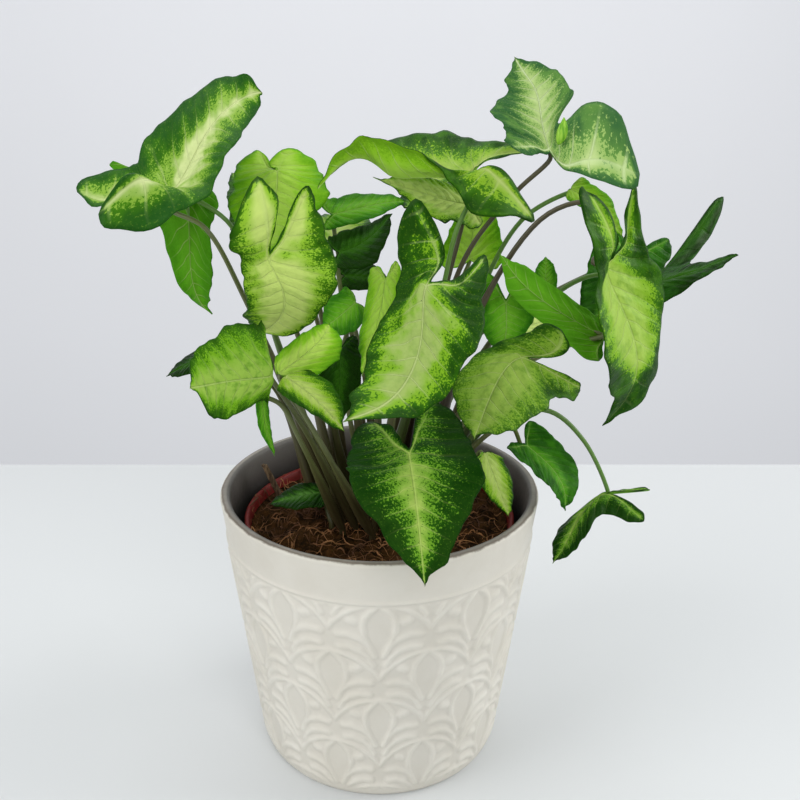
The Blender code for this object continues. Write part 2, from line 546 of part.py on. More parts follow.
def nursery_pot_solid():
    """Thin nursery pot with a small turned lip, standing on the outer pot's floor."""
    foot = POT_FLOOR + SEAT
    return revolve([
        (0.0, foot), (INNER_BASE_RADIUS, foot), (INNER_RIM_RADIUS - 0.0012, INNER_TOP - INNER_LIP),
        (INNER_RIM_RADIUS, INNER_TOP - INNER_LIP + 0.0004), (INNER_RIM_RADIUS, INNER_TOP),
        (INNER_RIM_RADIUS - 0.0020, INNER_TOP),
        (INNER_RIM_RADIUS - 0.0012 - INNER_WALL, INNER_TOP - INNER_LIP),
        (INNER_BASE_RADIUS - INNER_WALL, foot + INNER_WALL), (0.0, foot + INNER_WALL)], INNER_SIDES)


def soil_solid():
    """Soil filling the nursery pot."""
    foot = POT_FLOOR + 2 * SEAT + INNER_WALL
    base = INNER_BASE_RADIUS - INNER_WALL - SEAT * 1.5
    rim = INNER_RIM_RADIUS - 0.0012 - INNER_WALL
    edge = base + (rim - base) * (SOIL_TOP - SOIL_DIP - foot) / (INNER_TOP - INNER_LIP - foot) - SEAT
    rings = [(edge, SOIL_TOP - SOIL_DIP)]
    for radius in (0.049, 0.042, SOIL_LEVEL_RADIUS):
        rings.append((radius, float(soil_height(radius))))
    return revolve([(0.0, foot), (base, foot)] + rings + [(0.0, SOIL_TOP)], SOIL_SIDES)


def make_object(name, solid):
    """Object from points and faces that already wind outward."""
    points, faces = solid
    mesh = bpy.data.meshes.new(name)
    mesh.from_pydata([tuple(float(c) for c in p) for p in points], [], [tuple(f) for f in faces])
    work = bmesh.new()
    work.from_mesh(mesh)
    bmesh.ops.triangulate(work, faces=work.faces[:])
    work.to_mesh(mesh)
    work.free()
    made = bpy.data.objects.new(name, mesh)
    bpy.context.scene.collection.objects.link(made)
    return made


def combine(keep, others, how):
    """Boolean of one object with a group of others, applied, with the group removed."""
    group = bpy.data.collections.new("group_" + keep.name)
    bpy.context.scene.collection.children.link(group)
    for other in others:
        group.objects.link(other)
        bpy.context.scene.collection.objects.unlink(other)
        other.hide_render = True
        other.display_type = "WIRE"
    step = keep.modifiers.new("combine", "BOOLEAN")
    step.operation = how
    step.operand_type = "COLLECTION"
    step.collection = group
    step.solver = "MANIFOLD"
    bpy.context.view_layer.update()
    shape = keep.evaluated_get(bpy.context.evaluated_depsgraph_get())
    mesh = bpy.data.meshes.new_from_object(shape)
    keep.modifiers.remove(step)
    keep.data = mesh
    for other in others:
        bpy.data.objects.remove(other, do_unlink=True)
    bpy.data.collections.remove(group)


def paint(thing, name, color, roughness):
    """Give an object its own material."""
    material = bpy.data.materials.new(name)
    material.use_nodes = True
    shader = material.node_tree.nodes["Principled BSDF"]
    shader.inputs["Base Color"].default_value = (color[0], color[1], color[2], 1.0)
    shader.inputs["Roughness"].default_value = roughness
    thing.data.materials.clear()
    thing.data.materials.append(material)


def shade_smooth(thing, angle):
    """Smooth shading with creases kept sharp."""
    for face in thing.data.polygons:
        face.use_smooth = True
    work = bmesh.new()
    work.from_mesh(thing.data)
    for edge in work.edges:
        if edge.is_manifold:
            edge.smooth = edge.calc_face_angle(0.0) < angle
    work.to_mesh(thing.data)
    work.free()


def build():
    """Make every piece of the plant and its pots."""
    for thing in list(bpy.data.objects):
        bpy.data.objects.remove(thing, do_unlink=True)
    outer_pot = make_object("outer_pot", outer_pot_solid())
    paint(outer_pot, "cream_glaze", CREAM, 0.55)
    nursery_pot = make_object("nursery_pot", nursery_pot_solid())
    paint(nursery_pot, "red_plastic", RED, 0.5)
    soil = make_object("soil", soil_solid())
    holes = []
    for name, leaf in list(LEAVES.items()) + [("dry_stub", {"root": STUB_ROOT})]:
        foot = np.array([leaf["root"][0] / 1000.0, leaf["root"][1] / 1000.0, SOIL_TOP - ROOT_DEPTH])
        radius = (PETIOLE_ROOT_RADIUS + HOLE_CLEARANCE) / np.cos(np.pi / HOLE_SIDES)
        rise = np.array([0.0, 0.0, 0.02])
        hole = tube_solid([foot, foot + rise], (radius, radius), HOLE_SIDES)
        holes.append(make_object("hole_" + name, hole))
    combine(soil, holes, "DIFFERENCE")
    paint(soil, "coir_soil", SOIL_BROWN, 0.95)
    for thing in (outer_pot, nursery_pot, soil):
        shade_smooth(thing, 0.6)
    stub = make_object("dry_stub", stub_solid())
    paint(stub, "dry_stalk", STUB_BROWN, 0.8)
    shade_smooth(stub, 1.2)
    for name, leaf in LEAVES.items():
        stalk_points, blade_points = leaf_solids(leaf)
        blade = make_object("leaf_" + name, blade_points)
        stalk = make_object("stalk_" + name, stalk_points)
        combine(blade, [stalk], "UNION")
        paint(blade, "leaf_" + name + "_green", LEAF_GREENS[leaf.get("tone", "mid")], 0.45)
        shade_smooth(blade, 1.1)


build()
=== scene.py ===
"""Arrowhead plant in its pots: fine leaves, glazed relief pot, nursery pot and coir soil."""
import json
import math
import bpy
import numpy as np
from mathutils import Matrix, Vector

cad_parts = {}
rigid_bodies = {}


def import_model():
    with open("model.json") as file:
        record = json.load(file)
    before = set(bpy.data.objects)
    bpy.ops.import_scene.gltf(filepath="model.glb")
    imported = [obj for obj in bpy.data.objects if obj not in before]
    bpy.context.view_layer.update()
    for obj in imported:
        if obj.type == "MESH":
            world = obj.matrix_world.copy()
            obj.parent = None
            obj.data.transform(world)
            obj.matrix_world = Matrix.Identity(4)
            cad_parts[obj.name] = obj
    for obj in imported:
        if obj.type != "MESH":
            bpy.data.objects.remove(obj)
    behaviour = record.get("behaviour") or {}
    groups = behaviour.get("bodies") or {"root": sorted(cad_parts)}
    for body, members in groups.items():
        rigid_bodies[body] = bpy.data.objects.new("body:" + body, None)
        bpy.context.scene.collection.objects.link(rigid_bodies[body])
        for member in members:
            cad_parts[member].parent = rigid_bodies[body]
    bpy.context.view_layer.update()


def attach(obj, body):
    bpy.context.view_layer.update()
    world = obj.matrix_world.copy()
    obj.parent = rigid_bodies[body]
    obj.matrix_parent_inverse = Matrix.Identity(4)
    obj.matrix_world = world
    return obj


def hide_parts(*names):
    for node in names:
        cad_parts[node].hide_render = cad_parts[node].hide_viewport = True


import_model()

# Sizes shared with the solids, in metres
POT_HEIGHT = 0.1256
POT_RIM_RADIUS = 0.0700
POT_BASE_RADIUS = 0.0544
POT_WALL = 0.0044
POT_FLOOR = 0.0060
POT_PLAIN_BAND = 0.0190
POT_FOOT = 0.0035
RELIEF_MOTIFS = 10
RELIEF_PITCH = 0.0247
RELIEF_ROWS = 5
INNER_RIM_RADIUS = 0.0600
INNER_BASE_RADIUS = 0.0430
INNER_TOP = 0.1120
INNER_LIP = 0.0030
INNER_WALL = 0.0012
INNER_NECK = INNER_RIM_RADIUS - 0.0012
SEAT = 0.0003
SOIL_TOP = 0.1090
SOIL_DIP = 0.0015
SOIL_LEVEL_RADIUS = 0.0340
ROOT_DEPTH = 0.0080
WARP_EASE = 0.004
BLADE_THICKNESS = 0.0006
STALK_ROOT_RADIUS = 0.00150
STALK_TOP_RADIUS = 0.00095

# Fine forms that the solids leave out
RELIEF_HEIGHT = 0.0009
POT_SIDES = 560
RELIEF_RINGS = 128
INNER_SIDES = 192
SOIL_SIDES = 300
SOIL_RINGS = 74
CRUMBS = 900
CRUMB_SIZES = (0.0008, 0.0030)
KNOB_PLACE = (-0.031, -0.019)
KNOB_RADIUS = 0.0060
KNOB_RISE = 0.0042
FIBRES = 900
FIBRE_STEPS = 7
FIBRE_RADIUS = 0.0592
SHEATH_SWELL = 0.00110
SHEATH_SHARE = 0.56
STALK_SINK = 0.0020
MIDRIB_KEEL = 0.0004
STALK_SIDES = 10
STALK_STEPS = 46
STUB_ROOT = (-47.5, 23)
STUB_TOP = (264, 464, 20)
STUB_SIDES = 14
ROLL_BASE = (558, 145, -5)
ROLL_TIP = (564, 117, -4)
ROLL_RADIUS = 0.0021
ROLL_STEPS = 22

# Rim points to a side and rings of a blade's mesh, for a full leaf and for a small one
FULL_BLADE = (81, 20)
SMALL_BLADE = (47, 10)

# Strokes of one palmette with their half widths, in mm from the middle of the motif
MOTIF_WIDTH = 41.5
MOTIF_PITCH = 24.7
MOTIF_REACH = 22.0
PALMETTE = (
    (((0.0, 12.0), (5.0, 11.6), (10.0, 9.8), (15.0, 6.4), (19.0, 2.2), (20.8, -0.8)), 1.2),
    (((0.2, 12.2), (2.8, 9.6), (5.7, 5.9), (6.8, 1.8), (6.3, -2.0)), 1.3),
    (((6.6, 0.0), (5.6, -4.0), (3.6, -8.6), (2.0, -13.0)), 0.7),
    (((9.8, 3.6), (11.6, 4.2)), 2.1),
    (((1.8, -13.7), (4.0, -8.7), (7.8, -4.9), (12.5, -3.1)), 1.2),
    (((7.8, -4.9), (12.5, -3.1), (16.8, -3.4)), 1.75),
    (((2.4, -18.7), (4.6, -14.3), (8.2, -11.1), (12.2, -9.5)), 1.2),
    (((8.2, -11.1), (12.2, -9.5), (16.2, -9.8)), 1.75),
)

# The photo's camera: eye in metres, downward pitch, and focal length and centre in pixels
VIEW_EYE = (0.0, -0.400, 0.321)
VIEW_PITCH = 0.371
VIEW_FOCAL = 1000.0
VIEW_CENTRE = (379.3, 400.0)
VIEW_SIZE = 800.0
SENSOR = 36.0
LIT_POINT = (0.0, 0.0, 0.16)

# Half of the flat blade from tip to joint: x runs along the midrib, with the blade's length as 1
HALF_OUTLINE = (
    (1.00, 0.000), (0.982, 0.005), (0.955, 0.022), (0.90, 0.078), (0.80, 0.165), (0.70, 0.235),
    (0.50, 0.345), (0.30, 0.410), (0.14, 0.425), (-0.02, 0.405), (-0.15, 0.397), (-0.28, 0.400),
    (-0.39, 0.370), (-0.45, 0.300), (-0.41, 0.200), (-0.31, 0.130), (-0.20, 0.080),
    (-0.11, 0.035), (-0.05, 0.000),
)
HUB_END = 0.985
VEIN_SLANT = 0.55
VEIN_PITCH = 0.125
LOBE_AXIS = (-0.832, 0.555)

# Unevenness of the blade, with heights as shares of its length
RIPPLES = 3.0
RIPPLE_SHIFT = 0.37
CRIMPS = 11.0
CRIMP_HEIGHT = 0.0060
SWELL_PITCH = 0.115
SWELL_HEIGHT = 0.0055
MIDRIB_DIP = 0.012
PUCKER_HEIGHT = 0.011

# Numbers that each vertex of a leaf carries for its materials. On a stalk the first two are the
# turn round it and the height along it, and the others are unused.
LEAF_FIELDS = ("flat_x", "flat_y", "lateral", "parent", "outward", "away", "lobe")

# Landmarks of the flat blade: joint, middle and tip, then a left and a right one for each letter.
# The letters are shoulder, widest, waist, lobe tip, inner and outer side of the lobe, near the tip,
# lobe corner, notch side and halfway in.
FLAT = {"J": (0.00, 0.000), "M": (0.50, 0.000), "T": (1.00, 0.000)}
for letter, spot_x, spot_y in (
        ("S", 0.70, 0.235), ("W", 0.30, 0.410), ("K", -0.02, 0.405), ("B", -0.45, 0.300),
        ("I", -0.20, 0.080), ("O", -0.28, 0.400), ("P", 0.90, 0.080), ("C", -0.39, 0.370),
        ("N", -0.41, 0.200), ("H", 0.05, 0.200)):
    FLAT[letter + "L"], FLAT[letter + "R"] = (spot_x, spot_y), (spot_x, -spot_y)

# Each leaf: root in mm on the soil, landmarks and stalk bends as (pixel across, pixel down, depth
# in mm), height of its ripples as a share of its length, and whether a coarse mesh is enough
LEAVES = {
    "top_left": dict(
        root=(-19, 4), J=(169, 193, -10), T=(262, 92, 28), PL=(247, 77, 32), PR=(261, 108, 24),
        SL=(214, 79, 29), SR=(240, 135, 2), WL=(166, 120, 14), WR=(222, 165, -14), KL=(138, 155, 4),
        KR=(199, 202, -26), OL=(116, 168, 0), OR=(152, 225, -38), BL=(77, 190, -8), BR=(93, 219, -44),
        NL=(92, 208, -16), NR=(122, 174, -35), IR=(150, 183, -18),
        bends=((246, 301, -12), (205, 228, -14)), wave=0.012),
    "under_left": dict(
        root=(-22, 10), J=(188, 204, 12), T=(213, 314, 4), PL=(199, 307, 6), SL=(183, 290, 8),
        SR=(210, 290, 0), WL=(164, 240, 12), WR=(211, 260, -2), KR=(212, 226, 6), BL=(116, 162, 28),
        BR=(208, 186, 22), bends=((262, 300, 8), (228, 222, 8)), wave=0.022),
    "twin_lobes": dict(
        root=(-16, -8), J=(269, 259, -45), T=(255, 334, -30), PL=(282, 335, -30), PR=(250, 326, -36),
        SL=(314, 321, -33), SR=(247, 312, -46), WL=(334, 286, -38), WR=(243, 280, -56),
        KL=(333, 252, -35), KR=(241, 257, -59), OL=(322, 214, -32), OR=(227, 240, -61),
        CR=(231, 222, -60), BL=(306, 189, -30), BR=(256, 173, -50), NL=(291, 208, -34),
        NR=(277, 198, -52), IL=(280, 238, -40), IR=(272, 238, -50), bends=((296, 330, -20),),
        wave=0.008),
    "back_left": dict(
        root=(-14, 10), J=(277, 171, 4), T=(268, 255, -12), WL=(325, 200, -4), WR=(229, 204, 6),
        OL=(320, 166, 10), OR=(237, 167, 18), BL=(290, 149, 14), BR=(258, 149, 24), NL=(270, 162, 11),
        NR=(269, 160, 21), IL=(275, 168, 7), IR=(274, 167, 12), bends=((318, 300, 4),), wave=0.008),
    "top_centre": dict(
        root=(0, 6), J=(466, 174, -5), M=(392, 174, -14), T=(316, 188, -30), PL=(330, 162, -26),
        SL=(362, 136, -20), WL=(416, 151, -16), KL=(446, 176, -14), OL=(478, 214, -20),
        PR=(334, 170, -16), SR=(380, 142, 6), WR=(431, 132, 20), KR=(470, 138, 24), OR=(506, 141, 26),
        BR=(531, 149, 22), NR=(508, 156, 14), IR=(482, 163, 3), BL=(538, 226, -8), CL=(514, 214, -14),
        NL=(518, 184, -2), IL=(488, 165, -2), bends=((440, 300, -6), (456, 232, -8)), wave=0.004),
    "below_centre": dict(
        root=(4, 12), J=(466, 204, 16), T=(373, 176, 6), PL=(390, 188, 4), SL=(408, 198, 2),
        SR=(408, 176, 12), WL=(432, 218, 2), WR=(436, 180, 18), KL=(456, 222, 4), BL=(482, 226, 8),
        BR=(486, 192, 24), bends=((440, 310, 14),), wave=0.008),
    "top_right": dict(
        root=(10, 3), J=(549, 148, 0), T=(514, 56, 22), PL=(509, 74, 20), PR=(533, 61, 20),
        SL=(506, 88, 18), SR=(558, 72, 14), WL=(492, 112, 14), WR=(572, 97, 6), KL=(504, 126, 8),
        KR=(558, 123, 3), HR=(553, 134, 2), IL=(540, 151, -2), OL=(504, 137, 6), BL=(514, 148, 2),
        OR=(598, 102, 3), CR=(626, 118, -6), BR=(637, 181, -24), NR=(604, 180, -22),
        IR=(564, 170, -10), bends=((462, 264, 4), (516, 192, 2)), wave=0.014),
    "right_hang": dict(
        root=(17, -2), J=(607, 267, -30), T=(603, 427, -40), PL=(636, 404, -34), PR=(610, 408, -42),
        SL=(658, 366, -26), SR=(611, 380, -48), WL=(662, 306, -20), WR=(599, 324, -54),
        KL=(656, 262, -18), KR=(598, 276, -44), OL=(642, 228, -16), OR=(586, 224, -46),
        BL=(634, 184, -9), BR=(583, 178, -38), NL=(625, 212, -14), NR=(610, 210, -36),
        IL=(624, 244, -24), IR=(617, 247, -33),
        bends=((470, 330, -8), (545, 216, -14), (592, 203, -18), (612, 236, -12)), wave=0.01),
    "right_strip": dict(
        root=(20, 8), J=(572, 190, 8), T=(624, 238, 2), WL=(608, 196, 8), WR=(590, 212, 0),
        BL=(580, 178, 12), BR=(566, 196, 6), bends=((470, 320, 14), (522, 220, 10)), wave=0.01,
        small=True),
    "far_right": dict(
        root=(24, 4), J=(655, 280, 8), T=(738, 254, -8), SL=(716, 259, 0), SR=(716, 270, -10),
        WL=(690, 263, 8), WR=(688, 288, -10), BL=(722, 194, 48), OL=(712, 234, 36), BR=(640, 300, 18),
        bends=((520, 330, 6), (590, 276, 6)), wave=0.008),
    "right_rear": dict(
        root=(22, 14), J=(628, 262, 26), T=(588, 328, 14), WL=(648, 296, 22), WR=(582, 283, 14),
        BL=(669, 240, 40), BR=(610, 226, 36), bends=((500, 330, 22),), wave=0.014),
    "front_big": dict(
        root=(-2, -14), J=(426, 285, -72), T=(341, 421, -102), PL=(394, 421, -102), PR=(350, 402, -94),
        SL=(438, 400, -98), SR=(362, 372, -80), WL=(474, 352, -88), WR=(384, 318, -66),
        KL=(484, 312, -74), KR=(397, 288, -62), OL=(485, 282, -64), OR=(398, 248, -56),
        CR=(402, 224, -53), BL=(489, 253, -52), BR=(414, 200, -50), NL=(468, 270, -56),
        NR=(437, 222, -52), IL=(450, 280, -64), IR=(444, 262, -58),
        bends=((395, 400, -38), (414, 315, -56)), wave=0.008),
    "front_low": dict(
        root=(4, -18), J=(409, 453, -62), T=(425, 587, -98), WL=(481, 478, -78), WR=(347, 474, -80),
        BL=(430, 401, -42), BR=(371, 419, -46), NL=(417, 414, -45), NR=(391, 424, -50),
        IL=(413, 429, -51), IR=(402, 442, -55), OL=(460, 418, -52), OR=(350, 447, -62),
        bends=((400, 480, -42),), wave=0.01),
    "right_mid": dict(
        root=(11, -12), J=(522, 357, -54), T=(474, 438, -90), SL=(510, 430, -88), SR=(455, 408, -74),
        WL=(545, 409, -76), WR=(466, 364, -58), BL=(581, 388, -54), BR=(562, 329, -44),
        OR=(532, 330, -46), CR=(548, 326, -44), OL=(574, 398, -60), NR=(571, 346, -48),
        IL=(551, 368, -54), IR=(550, 358, -51), bends=((450, 440, -34), (500, 384, -40)), wave=0.008),
    "left_low": dict(
        root=(-10, -14), J=(273, 375, -58), T=(190, 388, -78), PL=(202, 406, -80), PR=(190, 368, -74),
        SL=(218, 418, -79), SR=(198, 348, -68), WL=(242, 411, -72), WR=(228, 328, -58),
        KL=(262, 400, -64), KR=(254, 323, -50), BR=(266, 334, -44), BL=(269, 396, -60),
        IR=(268, 352, -50), bends=((305, 430, -40),), wave=0.012),
    "hanging_strip": dict(
        root=(-16, -15), J=(262, 400, -56), T=(275, 456, -58), WL=(270, 424, -54), WR=(258, 425, -58),
        BL=(267, 392, -52), BR=(257, 393, -56), bends=((300, 440, -44), (280, 404, -48)), wave=0.002,
        small=True),
    "lime_young": dict(
        root=(-7, -9), J=(280, 373, -48), T=(330, 322, -46), WL=(296, 338, -43), WR=(338, 360, -51),
        SR=(341, 340, -51), BL=(277, 366, -46), BR=(308, 377, -53), bends=((318, 440, -30),),
        wave=0.004, small=True),
    "low_speckled": dict(
        root=(-3, -20), J=(286, 377, -60), T=(345, 432, -76), WL=(334, 386, -66), WR=(298, 405, -72),
        BL=(302, 371, -58), BR=(279, 388, -62), bends=((325, 450, -48),), wave=0.008, small=True),
    "dark_heart": dict(
        root=(0, -7), J=(340, 350, -26), T=(338, 424, -42), WL=(362, 380, -36), WR=(318, 378, -34),
        BL=(354, 336, -20), BR=(324, 342, -18), bends=((352, 430, -20),), wave=0.01),
    "upright_fold": dict(
        root=(5, -9), J=(385, 281, -34), T=(361, 376, -52), WL=(396, 322, -46), WR=(362, 322, -36),
        BL=(398, 262, -30), BR=(374, 266, -26), bends=((378, 420, -22), (392, 330, -26)), wave=0.006),
    "shade_upper": dict(
        root=(-4, 0), J=(340, 252, -18), T=(392, 213, -8), SL=(372, 222, -6), SR=(388, 236, -16),
        WL=(350, 229, -12), WR=(376, 262, -24), BL=(328, 240, -14), BR=(334, 266, -24),
        bends=((346, 330, -12),), wave=0.006, small=True),
    "shade_lower": dict(
        root=(1, 0), J=(346, 276, -8), T=(394, 284, -14), WL=(370, 264, -4), WR=(368, 290, -14),
        BL=(336, 268, -4), BR=(338, 288, -10), bends=((362, 360, -4),), wave=0.006, small=True),
    "inner_left": dict(
        root=(-11, 2), J=(355, 303, -21), T=(322, 330, -32), WL=(352, 333, -30), WR=(328, 300, -22),
        BL=(367, 312, -22), BR=(350, 289, -16), bends=((332, 400, -13),), wave=0.01, small=True),
    "back_pointed": dict(
        root=(-5, 14), J=(335, 214, 14), T=(406, 201, 12), SL=(388, 194, 18), WL=(360, 194, 22),
        WR=(372, 218, 6), BL=(322, 202, 22), BR=(324, 228, 12), bends=((350, 320, 12),), wave=0.008,
        small=True),
    "back_lime": dict(
        root=(10, 14), J=(470, 258, 34), T=(478, 196, 40), WL=(448, 232, 36), WR=(500, 226, 34),
        BL=(446, 268, 28), BR=(496, 268, 26), bends=((432, 350, 20),), wave=0.01),
    "bright_fold": dict(
        root=(14, -7), J=(602, 338, -30), T=(499, 252, -14), SL=(528, 269, -18), SR=(510, 294, -20),
        WL=(572, 299, -22), WR=(545, 325, -26), BL=(613, 334, -26), BR=(597, 362, -36),
        OR=(574, 350, -34), KR=(560, 334, -31), bends=((468, 404, -18), (545, 354, -22)), wave=0.004),
    "small_tips": dict(
        root=(14, 8), J=(546, 290, 10), T=(546, 256, 16), WL=(534, 274, 12), WR=(557, 274, 12),
        BL=(538, 296, 8), BR=(554, 296, 8), bends=((464, 350, 6),), wave=0.006, small=True),
    "light_pair": dict(
        root=(9, -4), J=(506, 303, -8), T=(502, 352, -16), WL=(532, 322, -12), WR=(483, 328, -10),
        BL=(526, 272, 0), BR=(486, 272, -2), bends=((446, 380, -12),), wave=0.01, small=True),
    "out_right": dict(
        root=(17, -14), J=(528, 446, -4), T=(566, 511, -22), SL=(578, 488, -16), SR=(556, 496, -26),
        WL=(574, 460, -6), WR=(545, 482, -26), OL=(545, 428, 2), BL=(530, 421, 4), BR=(508, 446, -8),
        OR=(522, 462, -18), bends=((470, 450, -12), (508, 424, -10)), wave=0.01),
    "trail_right": dict(
        root=(24, -8), J=(603, 494, -12), T=(552, 563, -34), WL=(588, 532, -28), WR=(566, 522, -14),
        SL=(573, 552, -33), SR=(553, 544, -26), KL=(602, 514, -20), BL=(643, 519, -22),
        CL=(639, 524, -24), BR=(649, 488, -4), bends=((480, 430, -6), (545, 410, -4), (584, 441, -6)),
        wave=0.006),
    "inside_right": dict(
        root=(22, -16), J=(486, 454, -24), T=(509, 516, -30), WL=(513, 486, -22), WR=(484, 490, -32),
        BL=(500, 456, -19), BR=(479, 459, -29), bends=((466, 474, -25),), wave=0.006, small=True),
    "low_dark": dict(
        root=(-21, -9), J=(320, 493, -4), T=(269, 504, -10), WL=(298, 509, -16), WR=(298, 484, 2),
        BL=(324, 505, -13), BR=(323, 487, 1), bends=(), wave=0.006, small=True),
    "behind_left": dict(
        root=(-28, 6), J=(212, 352, -22), T=(166, 376, -22), WL=(190, 374, -28), WR=(190, 354, -14),
        BL=(222, 362, -26), BR=(222, 342, -16), bends=((276, 390, 8),), wave=0.008, small=True),
    "rear_left": dict(
        root=(-18, 17), J=(252, 212, 42), T=(232, 172, 78), WL=(228, 200, 48), WR=(280, 184, 66),
        BL=(236, 232, 24), BR=(276, 222, 36), bends=((310, 300, 30),), wave=0.016),
    "rear_centre": dict(
        root=(-8, 22), J=(332, 236, 50), T=(352, 214, 96), WL=(318, 216, 76), WR=(372, 226, 64),
        BL=(314, 244, 38), BR=(352, 256, 28), bends=((350, 320, 40),), wave=0.016),
    "rear_right": dict(
        root=(4, 22), J=(428, 200, 60), T=(446, 156, 94), WL=(408, 176, 80), WR=(466, 184, 68),
        BL=(404, 208, 50), BR=(446, 222, 44), bends=((412, 300, 40),), wave=0.016),
    "rear_low": dict(
        root=(14, 20), J=(520, 330, 52), T=(560, 320, 86), WL=(520, 306, 74), WR=(562, 342, 56),
        BL=(498, 332, 44), BR=(530, 358, 30), bends=((462, 380, 36),), wave=0.016),
}


def at(across, down, depth_mm):
    """Point at a given depth on the sight line through (across, down)."""
    cos, sin = np.cos(VIEW_PITCH), np.sin(VIEW_PITCH)
    right = np.array([1.0, 0.0, 0.0]) * (across - VIEW_CENTRE[0]) / VIEW_FOCAL
    below = np.array([0.0, sin, cos]) * (down - VIEW_CENTRE[1]) / VIEW_FOCAL
    ray = np.array([0.0, cos, -sin]) + right - below
    eye = np.array(VIEW_EYE)
    return eye + ray * (depth_mm / 1000.0 - eye[1]) / ray[1]


def blade_length(leaf):
    """Straight length of a blade from joint to tip."""
    return np.linalg.norm(at(*leaf["T"]) - at(*leaf["J"]))


def soil_root(across_mm, deep_mm):
    """Foot of a stalk, in its hole in the soil."""
    return np.array([across_mm / 1000.0, deep_mm / 1000.0, SOIL_TOP - ROOT_DEPTH + SEAT])


def smooth_path(points, count):
    """Centripetal Catmull-Rom curve through the points."""
    points = np.asarray(points, float)
    steps = np.linalg.norm(np.diff(points, axis=0), axis=1) ** 0.5
    knots = np.concatenate([[0.0], np.cumsum(steps)])
    ends = np.vstack([2 * points[0] - points[1], points, 2 * points[-1] - points[-2]])
    marks = np.concatenate([[-knots[1]], knots, [2 * knots[-1] - knots[-2]]])
    result = []
    for x in np.linspace(0.0, knots[-1], count):
        i = min(max(int(np.searchsorted(knots, x, side="right")) - 1, 0), len(points) - 2)
        p = ends[i:i + 4]
        t = marks[i:i + 4]
        a = [(t[k + 1] - x) / (t[k + 1] - t[k]) * p[k] + (x - t[k]) / (t[k + 1] - t[k]) * p[k + 1]
             for k in range(3)]
        b = [(t[k + 2] - x) / (t[k + 2] - t[k]) * a[k] + (x - t[k]) / (t[k + 2] - t[k]) * a[k + 1]
             for k in range(2)]
        result.append((t[2] - x) / (t[2] - t[1]) * b[0] + (x - t[1]) / (t[2] - t[1]) * b[1])
    return np.array(result)


def kernel(squared):
    """Thin-plate kernel of a squared distance."""
    return squared * np.log(squared + 1e-12)


def warp_through(flat, placed):
    """Smooth map from the flat blade to space that takes each landmark to its place."""
    count = len(flat)
    gaps = kernel(((flat[:, None] - flat[None]) ** 2).sum(-1)) + np.eye(count) * WARP_EASE
    plane = np.column_stack([np.ones(count), flat])
    system = np.block([[gaps, plane], [plane.T, np.zeros((3, 3))]])
    weights = np.linalg.solve(system, np.vstack([placed, np.zeros((3, 3))]))

    def carry(q):
        near = kernel(((q[:, None] - flat[None]) ** 2).sum(-1))
        return near @ weights[:count] + np.column_stack([np.ones(len(q)), q]) @ weights[count:]
    return carry


def stroke_distance(x, y, stroke):
    """Distance from points to a polyline."""
    best = np.full(np.shape(x), 1e9)
    for (ax, ay), (bx, by) in zip(stroke[:-1], stroke[1:]):
        dx, dy = bx - ax, by - ay
        t = np.clip(((x - ax) * dx + (y - ay) * dy) / (dx * dx + dy * dy), 0.0, 1.0)
        best = np.minimum(best, np.hypot(x - ax - t * dx, y - ay - t * dy))
    return best


def unit(vectors):
    """The same directions with length 1."""
    return vectors / np.linalg.norm(vectors, axis=-1, keepdims=True)


def mesh_piece(name, points, faces):
    """Smooth object from plain points and faces."""
    mesh = bpy.data.meshes.new(name)
    mesh.from_pydata([tuple(map(float, p)) for p in points], [], [tuple(map(int, f)) for f in faces])
    mesh.polygons.foreach_set("use_smooth", [True] * len(mesh.polygons))
    mesh.update()
    made = bpy.data.objects.new(name, mesh)
    bpy.context.scene.collection.objects.link(made)
    return made


def add_float(mesh, name, values):
    """Per-vertex number that materials can read."""
    layer = mesh.attributes.new(name, "FLOAT", "POINT")
    layer.data.foreach_set("value", np.asarray(values, dtype=np.float32))


def dress(piece, materials, replaced=None):
    """Give a piece its materials, attach it to the root body, and hide the solid that it stands for."""
    for material in materials:
        piece.data.materials.append(material)
    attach(piece, "root")
    if replaced:
        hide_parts(replaced)


def tube_faces(rings, sides, start=0):
    """Faces round a stack of rings of points, closed at the foot and then at the top."""
    faces = []
    for low in range(start, start + (rings - 1) * sides, sides):
        for k in range(sides):
            after = (k + 1) % sides
            faces.append((low + k, low + after, low + after + sides, low + k + sides))
    top = start + (rings - 1) * sides
    return faces + [tuple(range(start, start + sides))[::-1], tuple(range(top, top + sides))]


def tube(path, radii, sides, groove, flat=1.0):
    """Points of a grooved tube round a path, with its section flattened by a share."""
    tangent = unit(np.gradient(path, axis=0))
    across = np.cross(tangent[0], [1.0, 0.0, 0.0])
    points = []
    for i, centre in enumerate(path):
        across = unit(across - tangent[i] * (across @ tangent[i]))
        other = np.cross(tangent[i], across)
        for turn in 2 * np.pi * np.arange(sides) / sides:
            pinch = 1.0 - groove * max(0.0, math.cos(turn)) ** 6
            points.append(centre + radii[i] * pinch * (
                np.cos(turn) * flat * across + np.sin(turn) * other))
    return np.array(points)


def uneven(side, seed):
    """Half outline with small seeded swells and nicks, none at the tip and the joint."""
    draw = np.random.default_rng(seed)
    along = np.linspace(0.0, 1.0, len(side))
    swell = np.zeros(len(side))
    for waves, size in ((3.0, 0.010), (5.0, 0.009), (8.0, 0.007), (13.0, 0.0045), (21.0, 0.0025)):
        swell += size * np.sin(2 * np.pi * (waves * (along + 0.06 * draw.random()) + draw.random()))
    swell *= np.clip(np.minimum(along / 0.05, (0.84 - along) / 0.08), 0.0, 1.0)
    ahead = np.gradient(side, axis=0)
    ahead /= np.linalg.norm(ahead, axis=1)[:, None] + 1e-9
    return side + np.column_stack([ahead[:, 1], -ahead[:, 0]]) * swell[:, None]


